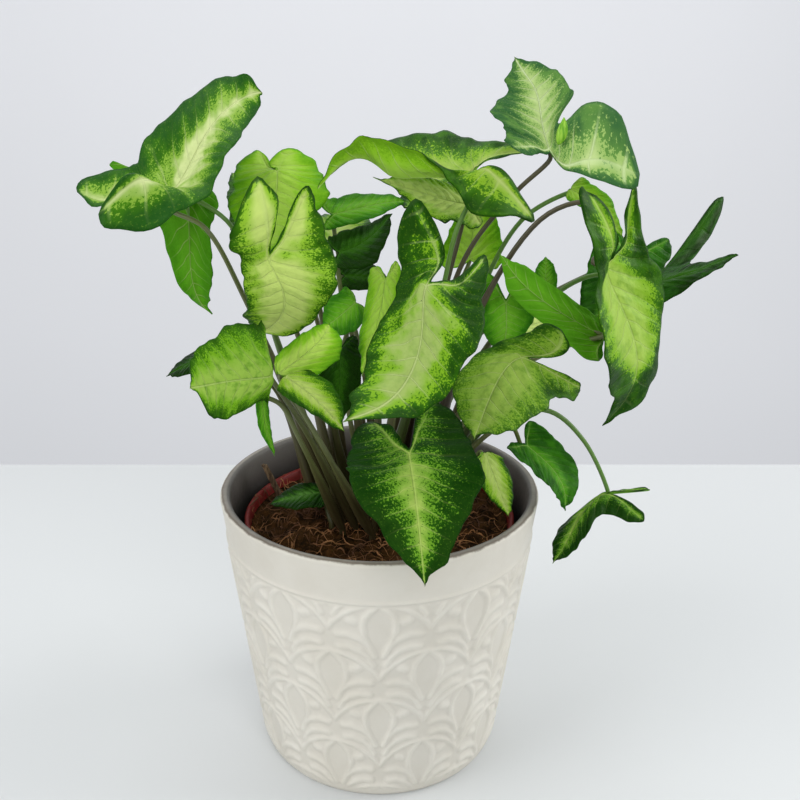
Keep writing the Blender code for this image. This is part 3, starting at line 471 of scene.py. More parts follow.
def flat_blade(edge_steps, rings, seed):
    """Flat blade as points (x, y, share from midrib to rim, rim position), triangles and rim."""
    side = smooth_path(HALF_OUTLINE, edge_steps)
    points, index, triangles, loop = [], {}, [], []

    def point_id(place, share, along):
        key = (round(float(place[0]), 5), round(float(place[1]), 5))
        if key not in index:
            index[key] = len(points)
            points.append((place[0], place[1], share, along))
        return index[key]

    for sign in (1, -1):
        spokes = []
        for i, (x, y) in enumerate(uneven(side, seed * 2 + (sign > 0))):
            hub = np.array([min(max(x - VEIN_SLANT * abs(y), 0.0), HUB_END) if i else HUB_END, 0.0])
            rim = np.array([x, sign * y])
            along = sign * i / (len(side) - 1)
            spokes.append([point_id(hub + (rim - hub) * share, share, along)
                           for share in np.linspace(0.0, 1.0, rings + 1) ** 0.9])
        for first, second in zip(spokes[:-1], spokes[1:]):
            for j in range(rings):
                for tri in ((first[j], first[j + 1], second[j + 1]),
                            (first[j], second[j + 1], second[j])):
                    if len(set(tri)) == 3:
                        triangles.append(tri if sign < 0 else tri[::-1])
        rim_ids = [spoke[-1] for spoke in spokes]
        loop += rim_ids if sign > 0 else rim_ids[::-1][1:-1]
    return np.array(points), triangles, loop


def vein_fields(q, loop):
    """Place among the side veins, distance to the midrib, to the rim, and outwardness of points."""
    x, y = q[:, 0], np.abs(q[:, 1])
    lobe_along = LOBE_AXIS[0] * x + LOBE_AXIS[1] * y
    lobe_across = LOBE_AXIS[1] * x - LOBE_AXIS[0] * y
    main = x - VEIN_SLANT * y
    lean = 0.09 + 0.40 * np.clip(lobe_along / 0.2, 0.0, 1.0)
    lobe = lobe_along - np.where(lobe_across > 0, lobe_across * lean, -0.45 * lobe_across)
    lateral = np.where(main < 0, -lobe, main)
    parent = np.where(main < 0, np.abs(lobe_across), y)
    away = stroke_distance(q[:, 0], q[:, 1], q[loop + loop[:1]])
    return lateral, parent, away, parent / (parent + away + 1e-6)


def placed_blade(leaf, flat_points, fields):
    """Middle surface of a blade with its ripples, normals, joint, next midrib point and up."""
    names = [name for name in FLAT if name in leaf]
    flat = np.array([FLAT[name] for name in names], float)
    carry = warp_through(flat, np.array([at(*leaf[name]) for name in names]))
    q, share, along = flat_points[:, :2], flat_points[:, 2], flat_points[:, 3]
    lateral, parent, away, _ = fields
    surface = carry(q)
    step = 0.001
    normal = unit(np.cross(carry(q + [step, 0]) - surface, carry(q + [0, step]) - surface))
    # Ripples grow towards the rim, and those of the right half lie between those of the left
    phase = RIPPLE_SHIFT * (along < 0)
    lift = leaf["wave"] * share ** 2 * np.sin(2 * np.pi * (RIPPLES * np.abs(along) + phase))
    # The blade swells gently between its side veins and dips along the midrib
    lift -= (SWELL_HEIGHT * np.cos(2 * np.pi * lateral / SWELL_PITCH)
             * np.clip(parent / 0.12, 0, 1) * np.clip(away / 0.08, 0, 1))
    lift -= MIDRIB_DIP * np.exp(-(parent / 0.030) ** 2)
    # Fine crimp at the very rim
    lift += CRIMP_HEIGHT * share ** 6 * np.sin(
        2 * np.pi * (CRIMPS * np.abs(along) + 0.3 * (along < 0) + phase))
    # Broad soft puckers
    x, y = q[:, 0], q[:, 1]
    pucker = np.sin(2 * np.pi * (2.1 * x + 1.3 * y + 3.7 * phase))
    pucker *= np.sin(2 * np.pi * (2.4 * y - 0.9 * x + phase))
    lift += PUCKER_HEIGHT * pucker * np.clip(away / 0.10, 0.25, 1) * np.clip(parent / 0.08, 0, 1)
    surface += normal * (lift * blade_length(leaf))[:, None]
    joint, ahead, left = carry(np.array([[0.0, 0.0], [0.06, 0.0], [0.0, 0.04]]))
    return surface, normal, joint, ahead, unit(np.cross(ahead - joint, left - joint))


def stalk_points(leaf, joint, ahead, up):
    """Stalk with its buried root, clasping sheath, slim neck and keel under the blade."""
    root = soil_root(*leaf["root"])
    mouth = np.array([root[0], root[1], SOIL_TOP + 0.002])
    along, sink = ahead - joint, up * STALK_SINK
    lead = joint - up * 0.10 * blade_length(leaf) - along * 0.8
    keel = ahead + along * 0.9 - sink * 0.7
    path = [mouth, *(at(*bend) for bend in leaf["bends"]), lead, joint - sink, ahead - sink * 0.8, keel]
    path = np.vstack([root, smooth_path(path, STALK_STEPS)])
    run = np.concatenate([[0.0], np.cumsum(np.linalg.norm(np.diff(path, axis=0), axis=1))])
    share = run / run[-1]
    radii = STALK_ROOT_RADIUS + (STALK_TOP_RADIUS - STALK_ROOT_RADIUS) * np.minimum(share / 0.8, 1)
    above = np.clip((run - ROOT_DEPTH - 0.002) / 0.012, 0.0, 1.0)
    radii += SHEATH_SWELL * (above * np.clip((SHEATH_SHARE - share) / 0.30, 0.0, 1.0)) ** 0.7
    radii[-4:] *= np.array([0.9, 0.7, 0.5, 0.3])
    turns = np.tile(np.arange(STALK_SIDES) / STALK_SIDES, len(path))
    return tube(path, radii, STALK_SIDES, 0.16), turns, np.repeat(share, STALK_SIDES)


def leaf_object(name, leaf, order):
    """One leaf: blade with top, rim and underside, and its stalk."""
    flat_points, triangles, loop = flat_blade(*(SMALL_BLADE if "small" in leaf else FULL_BLADE), order)
    fields = vein_fields(flat_points[:, :2], loop)
    surface, normal, joint, ahead, up = placed_blade(leaf, flat_points, fields)
    x, y = flat_points[:, 0], flat_points[:, 1]
    lateral, parent, away, outward = fields
    half = BLADE_THICKNESS / 2 * np.clip(0.35 + away / 0.03, 0.35, 1.0)
    midrib = MIDRIB_KEEL * np.exp(-(parent / 0.022) ** 2) * np.clip(1.1 - lateral, 0.2, 1.0)
    stalk, turns, heights = stalk_points(leaf, joint, ahead, up)
    points = np.vstack([surface + normal * half[:, None],
                        surface - normal * (half + midrib)[:, None], stalk])
    count = len(surface)
    top = [tri[::-1] for tri in triangles]
    under = [tuple(i + count for i in tri) for tri in triangles]
    rim = [(after, here, here + count, after + count)
           for here, after in zip(loop, loop[1:] + loop[:1])]
    stem = tube_faces(len(stalk) // STALK_SIDES, STALK_SIDES, 2 * count)
    made = mesh_piece(name, points, top + under + rim + stem)
    made.data.polygons.foreach_set("material_index", (
        [0] * len(top) + [1] * len(under) + [0] * len(rim) + [2] * len(stem)))
    lobe = np.clip((VEIN_SLANT * np.abs(y) - x) / 0.12, 0, 1)
    for field, values, on_stalk in zip(LEAF_FIELDS, (x, y, lateral, parent, outward, away, lobe),
                                       [turns, heights] + [np.zeros(len(stalk))] * 5):
        add_float(made.data, field, np.concatenate([values, values, on_stalk]))
    return made


class Nodes:
    """Short way to wire a procedural material."""

    def __init__(self, name, swatch):
        self.material = bpy.data.materials.new(name)
        self.material.use_nodes = True
        self.tree = self.material.node_tree
        self.shader = self.tree.nodes["Principled BSDF"]
        self.set(Base_Color=swatch)

    def put(self, socket, value):
        """Link an output, or set a number, a vector or an opaque colour."""
        if isinstance(value, bpy.types.NodeSocket):
            self.tree.links.new(value, socket)
        else:
            socket.default_value = (*value, 1.0) if socket.type == "RGBA" else value

    def node(self, kind, inputs, **settings):
        """Outputs of a new node with these inputs, by name or number, and settings."""
        made = self.tree.nodes.new("ShaderNode" + kind)
        for key, value in settings.items():
            setattr(made, key, value)
        for key, value in inputs.items():
            self.put(made.inputs[key], value)
        return made.outputs

    def attribute(self, name):
        return self.node("Attribute", {}, attribute_name=name)["Fac"]

    def math(self, operation, *values):
        return self.node("Math", dict(enumerate(values)), operation=operation)[0]

    def span(self, value, low, high, out_low=0.0, out_high=1.0):
        """Smooth step from out_low to out_high while the value goes from low to high."""
        inputs = {"Value": value, "From Min": low, "From Max": high,
                  "To Min": out_low, "To Max": out_high}
        return self.node("MapRange", inputs, interpolation_type="SMOOTHSTEP")["Result"]

    def sway(self, signal, amount, middle):
        """A middle value moved up and down by a signal that lies round a half."""
        return self.math("MULTIPLY_ADD", self.math("SUBTRACT", signal, 0.5), amount, middle)

    def vector(self, *parts):
        return self.node("CombineXYZ", dict(enumerate(parts)))[0]

    def place(self, squash=1.0):
        """Object coordinates, with z squashed where streaks should run up."""
        where = self.node("TexCoord", {})["Object"]
        return self.node("Mapping", {"Vector": where, "Scale": (1.0, 1.0, squash)})[0]

    def noise(self, where, scale, detail=2.0, rough=0.5):
        inputs = {"Vector": where, "Scale": scale, "Detail": detail, "Roughness": rough}
        return self.node("TexNoise", inputs)["Fac"]

    def mix(self, amount, first, second):
        return self.node("Mix", {0: amount, 6: first, 7: second}, data_type="RGBA")[2]

    def blend(self, signal, low, high, first, second, most=1.0):
        """Mix from the first colour towards the second while the signal goes from low to high."""
        return self.mix(self.span(signal, low, high, 0.0, most), first, second)

    def set(self, **values):
        for key, value in values.items():
            self.put(self.shader.inputs[key.replace("_", " ")], value)

    def coat(self, colour, rough, height, strength, distance):
        """Colour, roughness and fine bumps of the finished material."""
        bump = self.node("Bump", {"Strength": strength, "Distance": distance, "Height": height})[0]
        self.set(Base_Color=colour, Roughness=rough, Normal=bump)
        return self.material


def vein_nodes(n, x, y, lateral, parent, outward):
    """Vein pattern from 0 to 1, and the place between side veins from 0 on a vein to 0.5."""
    midrib = n.span(parent, 0.003, n.span(x, 0.0, 1.0, 0.014, 0.006), 1.0, 0.0)
    shifted = n.sway(n.noise(n.vector(x, y, 0.0), 4.0, 1.0), 0.07, lateral)
    phase = n.math("PINGPONG", n.math("DIVIDE", shifted, VEIN_PITCH), 0.5)
    side = n.math("MULTIPLY", n.span(phase, 0.015, 0.07, 1.0, 0.0),
                  n.span(outward, 0.35, 0.95, 0.65, 0.10))
    return n.math("MAXIMUM", midrib, side), phase


def leaf_materials(name, look):
    """Top and underside of one leaf, from its named look."""
    made = []
    for side in ("top", "under"):
        under = side == "under"
        n = Nodes(name + "_" + side, look["mid"])
        x, y, lateral, parent, outward, away, lobe = map(n.attribute, LEAF_FIELDS)
        place = n.vector(n.math("ADD", x, look["seed"]), y, look["seed"] * 0.7)
        veins, phase = vein_nodes(n, x, y, lateral, parent, outward)
        # Pale centre, feathered outward along the side veins and broken into spatters
        streak = n.noise(n.vector(n.math("MULTIPLY", lateral, 8.5), n.math("MULTIPLY", parent, 3.4),
                                  look["seed"]), 1.0, 4.0, 0.62)
        cloud = n.noise(place, 3.4, 3.0, 0.6)
        island = n.noise(place, 8.0, 2.0, 0.55)
        grain = n.noise(place, 72.0, 3.0, 0.72)
        reach = look["pale"]
        for signal, amount in ((streak, "feather"), (cloud, "cloud"), (island, "island")):
            reach = n.sway(signal, look[amount], reach)
        for signal, amount in ((n.math("SUBTRACT", 0.25, phase), look["rib"]),
                               (lobe, -look["lobe_dark"]),
                               (n.span(x, 0.50, 0.95), -look["tip_dark"]), (y, look["lean"])):
            reach = n.math("MULTIPLY_ADD", signal, amount, reach)
        paleness = n.math("SUBTRACT", reach, outward)
        tone = n.span(n.sway(grain, look["speckle"], paleness), -look["soft"], look["soft"])
        patch = n.math("MULTIPLY", n.span(n.noise(place, 5.5, 3.0, 0.6), 0.42, 0.66), look["patch"])
        near_pale = n.span(paleness, -0.40, 0.05, 0.0, 0.8)
        base = n.mix(n.math("MAXIMUM", near_pale, patch), look["dark"], look["mid"])
        base = n.blend(grain, 0.56, 0.72, base, look["light"], look["fleck"])
        pale = n.blend(paleness, 0.06, 0.50, look["light"], look["heart"])
        pale = n.blend(n.noise(place, 13.0, 3.0, 0.6), 0.46, 0.70, pale, look["mid"], look["mottle"])
        colour = n.mix(n.math("MULTIPLY", tone, look["pale_mix"]), base, pale)
        shown = n.math("MULTIPLY", veins, n.span(paleness, -0.30, 0.12, 0.25, 1.0))
        colour = n.mix(n.math("MULTIPLY", shown, look["vein"]), colour, look["vein_colour"])
        colour = n.mix(n.span(away, 0.003, 0.014, look["rim"], 0.0), colour, look["dark"])
        if under:
            colour = n.mix(look["under_mix"], colour, look["under"])
            colour = n.mix(n.math("MULTIPLY", veins, 0.35), colour, look["vein_colour"])
        height = n.math("MULTIPLY", veins, 1.0 if under else -0.8)
        height = n.math("MULTIPLY_ADD", n.noise(place, 24.0, 4.0, 0.6), 0.8, height)
        height = n.math("MULTIPLY_ADD", phase, 1.1, height)
        rough = n.math("MULTIPLY_ADD", cloud, 0.16, 0.50 if under else 0.36)
        n.set(Specular_IOR_Level=0.08 if under else 0.16, Specular_Tint=(0.50, 1.0, 0.15))
        made.append(n.coat(colour, rough, height, 0.65, 0.0008))
    return made


def stalk_material(name, low, high):
    """Stalk: olive brown at the foot, darkened there with painted shade, greener towards the blade, with
    fine length streaks.
    """
    n = Nodes(name, low)
    around, along = n.attribute("flat_x"), n.attribute("flat_y")
    where = n.vector(n.math("MULTIPLY", around, 14.0), n.math("MULTIPLY", along, 3.0), 0.0)
    streak = n.noise(where, 1.0, 3.0)
    colour = n.blend(n.sway(streak, 0.5, along), 0.1, 0.95, low, high)
    colour = n.blend(streak, 0.52, 0.75, colour, (0.20, 0.21, 0.08), 0.22)
    return n.coat(colour, 0.42, streak, 0.25, 0.0003)


# Looks of the leaves: colours from the dark margin to the pale heart, how far the pale centre
# reaches, and how strongly each pattern breaks it up
GREEN = dict(
    dark=(0.006, 0.042, 0.002), mid=(0.055, 0.2, 0.004), light=(0.24, 0.43, 0.022),
    heart=(0.42, 0.54, 0.13), vein_colour=(0.5, 0.6, 0.23), under=(0.13, 0.34, 0.02), pale=0.52,
    feather=0.5, cloud=0.55, island=0.35, rib=0.18, lobe_dark=0.1, tip_dark=0.08, lean=0.0, patch=0.35,
    speckle=1.4, soft=0.07, pale_mix=0.92, fleck=0.25, mottle=0.2, vein=0.35, rim=0.6, under_mix=0.7)
CREAM_FEATHER = dict(
    GREEN, light=(0.25, 0.43, 0.05), heart=(0.47, 0.58, 0.21), vein_colour=(0.56, 0.64, 0.29), vein=0.4,
    fleck=0.4)
DARK_FEATHER = dict(
    GREEN, pale=0.42, feather=0.55, cloud=0.5, rib=0.22, patch=0.1, island=0.5, speckle=2.2,
    dark=(0.004, 0.033, 0.002), mid=(0.018, 0.1, 0.004), light=(0.16, 0.36, 0.025),
    heart=(0.43, 0.59, 0.12), vein_colour=(0.5, 0.64, 0.17), fleck=0.22, vein=0.4)
PALE_WIDE = dict(
    GREEN, pale=0.8, feather=0.35, cloud=0.5, island=0.55, rib=0.1, lobe_dark=0.15, patch=0.5,
    light=(0.29, 0.52, 0.034), heart=(0.58, 0.72, 0.19), vein=0.3, speckle=1.5, mottle=0.35)
STIPPLED = dict(
    GREEN, pale=0.82, feather=0.25, cloud=0.6, island=0.5, rib=0.08, speckle=2.4, soft=0.2,
    pale_mix=0.85, light=(0.2, 0.36, 0.03), heart=(0.29, 0.43, 0.07), patch=0.7, vein=0.35,
    mid=(0.06, 0.18, 0.006), mottle=0.4, rim=0.4, lobe_dark=0.35)
LIME = dict(
    GREEN, dark=(0.06, 0.24, 0.006), mid=(0.13, 0.37, 0.008), light=(0.26, 0.52, 0.022),
    heart=(0.37, 0.59, 0.075), pale=0.75, rim=0.25, vein=0.25, speckle=0.5, soft=0.3,
    under=(0.23, 0.5, 0.035), patch=0.9, lobe_dark=0.0, mottle=0.25)
BRIGHT = dict(
    GREEN, dark=(0.025, 0.15, 0.006), mid=(0.065, 0.27, 0.008), light=(0.12, 0.37, 0.015),
    heart=(0.17, 0.43, 0.03), pale=0.6, rim=0.3, vein=0.28, speckle=0.6, soft=0.25,
    under=(0.1, 0.32, 0.012), patch=0.7, mottle=0.35)
SHADED = dict(
    GREEN, dark=(0.003, 0.022, 0.001), mid=(0.007, 0.046, 0.002), light=(0.022, 0.095, 0.004),
    heart=(0.03, 0.12, 0.005), pale=0.35, vein=0.15, under=(0.025, 0.105, 0.008), fleck=0.1,
    vein_colour=(0.1, 0.26, 0.04))
DEEP = dict(
    BRIGHT, pale=0.25, dark=(0.01, 0.075, 0.004), mid=(0.035, 0.175, 0.006), light=(0.085, 0.29, 0.012),
    heart=(0.12, 0.35, 0.02))
GREYED = dict(
    GREEN, pale=0.44, feather=0.6, cloud=0.6, island=0.4, rib=0.45, dark=(0.03, 0.11, 0.034), lean=-0.5,
    mid=(0.13, 0.29, 0.055), light=(0.33, 0.49, 0.14), heart=(0.52, 0.65, 0.27),
    vein_colour=(0.56, 0.68, 0.36), vein=0.85, patch=0.7, fleck=0.6, speckle=2.0)
LOOKS = {
    "top_left": dict(
        CREAM_FEATHER, pale=0.52, lobe_dark=0.05, dark=(0.012, 0.075, 0.009), rib=0.3,
        heart=(0.64, 0.72, 0.33), island=0.85, cloud=0.4),
    "under_left": dict(BRIGHT, under=(0.06, 0.23, 0.006)),
    "twin_lobes": dict(PALE_WIDE, pale=0.86, cloud=0.7, mottle=0.12), "back_left": LIME,
    # The undersides of top_centre and below_centre are brighter than their own green: painted light on
    # sides that face away from the lamps
    "top_centre": dict(GREEN, pale=0.62, under=(0.27, 0.6, 0.02), under_mix=0.55, patch=0.6),
    "below_centre": dict(PALE_WIDE, pale=0.95, under=(0.37, 0.66, 0.04), under_mix=0.85),
    "top_right": GREYED,
    "right_hang": dict(
        PALE_WIDE, pale=0.84, tip_dark=1.3, lobe_dark=0.5, heart=(0.37, 0.55, 0.085),
        light=(0.23, 0.45, 0.02)),
    "right_strip": dict(LIME, under=(0.19, 0.45, 0.024), mid=(0.1, 0.32, 0.012)),
    "far_right": dict(SHADED, patch=0.9, mid=(0.016, 0.085, 0.006)), "right_rear": DEEP,
    "front_big": dict(
        CREAM_FEATHER, pale=0.7, cloud=0.55, island=1.25, lobe_dark=0.45, speckle=1.6, patch=0.15,
        heart=(0.34, 0.45, 0.125), feather=0.35, light=(0.2, 0.4, 0.015), mid=(0.035, 0.15, 0.003)),
    "front_low": DARK_FEATHER, "right_mid": STIPPLED,
    "left_low": dict(
        PALE_WIDE, pale=0.78, mottle=0.6, heart=(0.3, 0.48, 0.07), light=(0.17, 0.39, 0.014), rim=0.4),
    "hanging_strip": BRIGHT, "inner_left": dict(BRIGHT, pale=0.5),
    "lime_young": dict(LIME, heart=(0.45, 0.64, 0.11)),
    "low_speckled": dict(GREEN, pale=0.62, speckle=1.8), "dark_heart": dict(SHADED, pale=0.25),
    "upright_fold": dict(LIME, dark=(0.06, 0.23, 0.01)), "shade_upper": SHADED, "shade_lower": SHADED,
    "back_pointed": BRIGHT, "back_lime": LIME, "bright_fold": BRIGHT, "small_tips": BRIGHT,
    "light_pair": BRIGHT, "out_right": DEEP, "trail_right": dict(DARK_FEATHER, pale=0.32),
    "inside_right": dict(GREEN, pale=0.75),
    "low_dark": dict(SHADED, pale=0.45, heart=(0.09, 0.23, 0.04)), "behind_left": SHADED,
    "rear_left": GREEN, "rear_centre": dict(GREEN, pale=0.72), "rear_right": DARK_FEATHER,
    "rear_low": PALE_WIDE,
}
# Stalk colours at the foot and at the top: partly the stalks' own olive brown and green, partly painted
# shade that darkens them inside the plant
OLIVE = ((0.06, 0.046, 0.018), (0.095, 0.12, 0.028))
BROWN = ((0.036, 0.022, 0.011), (0.058, 0.05, 0.018))
FRESH = ((0.05, 0.064, 0.014), (0.09, 0.215, 0.022))
STALKS = {
    "top_right": BROWN, "right_hang": BROWN, "right_strip": FRESH, "top_centre": FRESH,
    "trail_right": FRESH, "under_left": FRESH, "below_centre": BROWN, "far_right": FRESH}


def make_leaves():
    """Every leaf, standing for its solid."""
    stalks = {}
    for order, (name, leaf) in enumerate(LEAVES.items()):
        piece = leaf_object("plant_" + name, leaf, order)
        sides = leaf_materials("leaf_" + name, dict(LOOKS[name], seed=0.37 * order + 0.1))
        tones = STALKS.get(name, OLIVE)
        if tones not in stalks:
            stalks[tones] = stalk_material("stalk_%d" % len(stalks), *tones)
        dress(piece, (*sides, stalks[tones]), "leaf_" + name)


def revolve(profile, sides):
    """Closed solid turned from a profile that starts and ends on the axis."""
    points, faces, rings = [], [], []
    turns = 2 * np.pi * np.arange(sides) / sides
    for radius, z in profile:
        around = turns if radius else turns[:1]
        rings.append(range(len(points), len(points) + len(around)))
        points += [(radius * math.cos(t), radius * math.sin(t), z) for t in around]
    for low, high in zip(rings[:-1], rings[1:]):
        for k in range(sides):
            quad = (low[k % len(low)], low[(k + 1) % sides % len(low)],
                    high[(k + 1) % sides % len(high)], high[k % len(high)])
            # On the axis a quad loses the point that it holds twice
            faces.append(tuple(dict.fromkeys(quad)))
    return np.array(points), faces


def outer_radius(z):
    """Plain taper of the outer pot's wall."""
    return POT_BASE_RADIUS + (POT_RIM_RADIUS - POT_BASE_RADIUS) * z / POT_HEIGHT


def relief(turn, z):
    """Raised palmettes in staggered rows, from 0 to 1."""
    rows_down = (POT_HEIGHT - POT_PLAIN_BAND - z) / RELIEF_PITCH
    height = np.zeros(turn.shape)
    for row in range(-1, RELIEF_ROWS + 1):
        across = turn / (2 * np.pi) * RELIEF_MOTIFS - 0.5 * (row % 2)
        x = (across - np.round(across)) * MOTIF_WIDTH
        y = (row + 0.5 - rows_down) * MOTIF_PITCH
        near = np.abs(y) < MOTIF_REACH
        for stroke, width in PALMETTE:
            for side in (1, -1):
                away = stroke_distance(x[near] * side, y[near], stroke)
                bump = np.clip(1.0 - (away / (1.45 * width)) ** 2, 0.0, 1.0) ** 1.5
                height[near] = np.maximum(height[near], bump)
    below_line = np.clip((POT_HEIGHT - POT_PLAIN_BAND - 0.001 - z) / 0.0015, 0.0, 1.0)
    above_foot = np.clip((z - POT_FOOT) / 0.003, 0.0, 1.0)
    return height * below_line * above_foot


def outer_profile():
    """Section of the outer pot from axis to axis, and the first and last ring of its relief."""
    line, lip = POT_HEIGHT - POT_PLAIN_BAND, POT_WALL / 2
    foot = ((0.0060, 0.0008), (0.0050, 0.0), (0.0022, 0.0), (0.0010, 0.0004), (0.0003, 0.0014))
    profile = [(0.0, 0.0008)] + [(POT_BASE_RADIUS - inset, z) for inset, z in foot]
    profile.append((outer_radius(0.0026), 0.0026))
    first = len(profile)
    profile += [(outer_radius(z), z) for z in np.linspace(POT_FOOT, line - 0.0014, RELIEF_RINGS)]
    last = len(profile)
    # Fine raised line under the plain band
    for step, rise in ((-0.0010, 0.15), (-0.0006, 0.55), (0.0, 0.75), (0.0006, 0.55), (0.0010, 0.15)):
        profile.append((outer_radius(line + step) + rise * 0.0009, line + step))
    profile += [(outer_radius(z), z) for z in np.linspace(line + 0.0018, POT_HEIGHT - 0.0020, 10)]
    for turn in np.linspace(0.15, math.pi - 0.15, 9):
        profile.append((POT_RIM_RADIUS - lip + (lip - 0.0001) * math.cos(turn),
                        POT_HEIGHT - 0.0016 + 0.0016 * math.sin(turn)))
    profile += [(outer_radius(z) - POT_WALL, z)
                for z in np.linspace(POT_HEIGHT - 0.0030, POT_FLOOR + 0.004, 14)]
    profile += [(outer_radius(POT_FLOOR) - POT_WALL - 0.003, POT_FLOOR), (0.0, POT_FLOOR)]
    return profile, first, last


def glaze_material():
    """Cream glaze with painted shade between the palmettes, worn to taupe on the rim, with painted shade
    inside.
    """
    n = Nodes("cream_glaze", (0.70, 0.67, 0.61))
    where = n.place()
    x, y, z = n.node("SeparateXYZ", {0: where})
    radius = n.node("VectorMath", {0: n.vector(x, y, 0.0)}, operation="LENGTH")["Value"]
    blot, fine = n.noise(where, 38.0, 4.0, 0.6), n.noise(where, 420.0, 3.0, 0.6)
    colour = n.blend(blot, 0.3, 0.7, (0.660, 0.628, 0.548), (0.715, 0.688, 0.615))
    # Painted shade: the glaze is darkened in the hollows between the raised palmettes
    colour = n.mix(n.span(n.attribute("raised"), 0.10, 0.8, 0.32, 0.0), colour, (0.575, 0.545, 0.478))
    # Ragged edges of the worn rim, with a thin brown line along the outer one
    edge = n.sway(n.noise(where, 90.0, 4.0, 0.65), 0.0016, z)
    inward = n.sway(n.noise(where, 130.0, 4.0, 0.7), 0.0016, n.math("SUBTRACT", POT_RIM_RADIUS, radius))
    worn = n.math("MULTIPLY", n.span(edge, POT_HEIGHT - 0.0016, POT_HEIGHT - 0.0008),
                  n.span(inward, 0.0003, 0.0011))
    line_mark = n.math("MULTIPLY", worn, n.span(inward, 0.0011, 0.0020, 1.0, 0.0))
    taupe = n.blend(blot, 0.35, 0.65, (0.215, 0.195, 0.170), (0.300, 0.275, 0.240))
    colour = n.mix(worn, colour, taupe)
    colour = n.mix(n.math("MULTIPLY", line_mark, 0.6), colour, (0.120, 0.085, 0.055))
    middle = n.math("MULTIPLY_ADD", z, (POT_RIM_RADIUS - POT_BASE_RADIUS) / POT_HEIGHT,
                    POT_BASE_RADIUS - POT_WALL * 0.62)
    inside = n.math("MULTIPLY", n.span(n.math("SUBTRACT", middle, radius), -0.0002, 0.0006),
                    n.span(z, 0.003, 0.005))
    # Painted shade inside the pot: dark low down, lightening towards the rim where more light reaches
    painted_inner_shade = n.blend(blot, 0.3, 0.75, (0.024, 0.021, 0.019), (0.046, 0.041, 0.037))
    painted_inner_shade = n.blend(z, POT_HEIGHT - 0.016, POT_HEIGHT - 0.002, painted_inner_shade, (0.150, 0.137, 0.124))
    height = n.math("MULTIPLY_ADD", fine, 0.35, blot)
    return n.coat(n.mix(inside, colour, painted_inner_shade), n.span(fine, 0.2, 0.8, 0.46, 0.62), height, 0.40, 0.0006)


def make_outer_pot():
    """Glazed outer pot with relief, raised line, rounded rim and worn edges."""
    profile, first, last = outer_profile()
    points, faces = revolve(profile, POT_SIDES)
    wall = slice(1 + (first - 1) * POT_SIDES, 1 + (last - 1) * POT_SIDES)
    turn = np.arctan2(points[wall, 1], points[wall, 0])
    raised = np.zeros(len(points))
    raised[wall] = relief(turn + np.pi / 2, points[wall, 2])
    points[wall, 0] += RELIEF_HEIGHT * raised[wall] * np.cos(turn)
    points[wall, 1] += RELIEF_HEIGHT * raised[wall] * np.sin(turn)
    piece = mesh_piece("glazed_pot", points, faces)
    add_float(piece.data, "raised", raised)
    dress(piece, (glaze_material(),), "outer_pot")


def make_nursery_pot():
    """Thin nursery pot with a rolled rim."""
    foot, lip = POT_FLOOR + SEAT, INNER_TOP - INNER_LIP

    def wall(shares, inset):
        return [(INNER_BASE_RADIUS + (INNER_NECK - INNER_BASE_RADIUS) * share - inset,
                 foot + (lip - foot) * share) for share in shares]

    profile = [(0.0, foot), (INNER_BASE_RADIUS - 0.001, foot), (INNER_BASE_RADIUS, foot + 0.001)]
    profile += wall(np.linspace(0.05, 1.0, 24), 0.0)
    for inset, z in ((0.0003, lip + 0.0003), (0.0, lip + 0.0009), (0.0, INNER_TOP - 0.0006),
                     (0.0005, INNER_TOP), (0.0014, INNER_TOP), (0.0020, INNER_TOP - 0.0006)):
        profile.append((INNER_RIM_RADIUS - inset, z))
    profile += wall(np.linspace(1.0, 0.02, 16), INNER_WALL) + [(0.0, foot + INNER_WALL)]
    n = Nodes("red_plastic", (0.280, 0.045, 0.034))
    where = n.place()
    dust = n.noise(where, 60.0, 4.0, 0.65)
    colour = n.blend(dust, 0.35, 0.75, (0.230, 0.020, 0.017), (0.140, 0.018, 0.014))
    colour = n.blend(n.noise(where, 300.0, 3.0, 0.6), 0.62, 0.75, colour, (0.080, 0.040, 0.022), 0.6)
    n.set(Specular_IOR_Level=0.20)
    red = n.coat(colour, n.span(dust, 0.2, 0.8, 0.38, 0.55), dust, 0.2, 0.0003)
    piece = mesh_piece("red_nursery_pot", *revolve(profile, INNER_SIDES))
    dress(piece, (red,), "nursery_pot")


def scattered(draw, reach):
    """Random place inside a circle."""
    r = reach * math.sqrt(draw.random())
    a = draw.random() * 2 * math.pi
    return r * math.cos(a), r * math.sin(a)


def soil_surface(x, y):
    """Height of the soil with its crumbs and its low knob."""
    draw = np.random.default_rng(5)
    crumbs = np.zeros(np.shape(x))
    for _ in range(CRUMBS):
        spot = scattered(draw, 0.056)
        size = CRUMB_SIZES[0] + (CRUMB_SIZES[1] - CRUMB_SIZES[0]) * draw.random() ** 2
        squared = (x - spot[0]) ** 2 + (y - spot[1]) ** 2
        crumbs = np.maximum(crumbs, np.sqrt(np.clip(size ** 2 - squared, 0, None)) * 0.8)
    level = SOIL_TOP - SOIL_DIP * np.clip((np.hypot(x, y) - SOIL_LEVEL_RADIUS) / 0.02, 0.0, 1.0) ** 1.5
    knob = np.hypot(x - KNOB_PLACE[0], y - KNOB_PLACE[1]) / KNOB_RADIUS
    return level + np.maximum(crumbs, KNOB_RISE * np.sqrt(np.clip(1.0 - knob ** 2, 0.0, 1.0))) - 0.0004


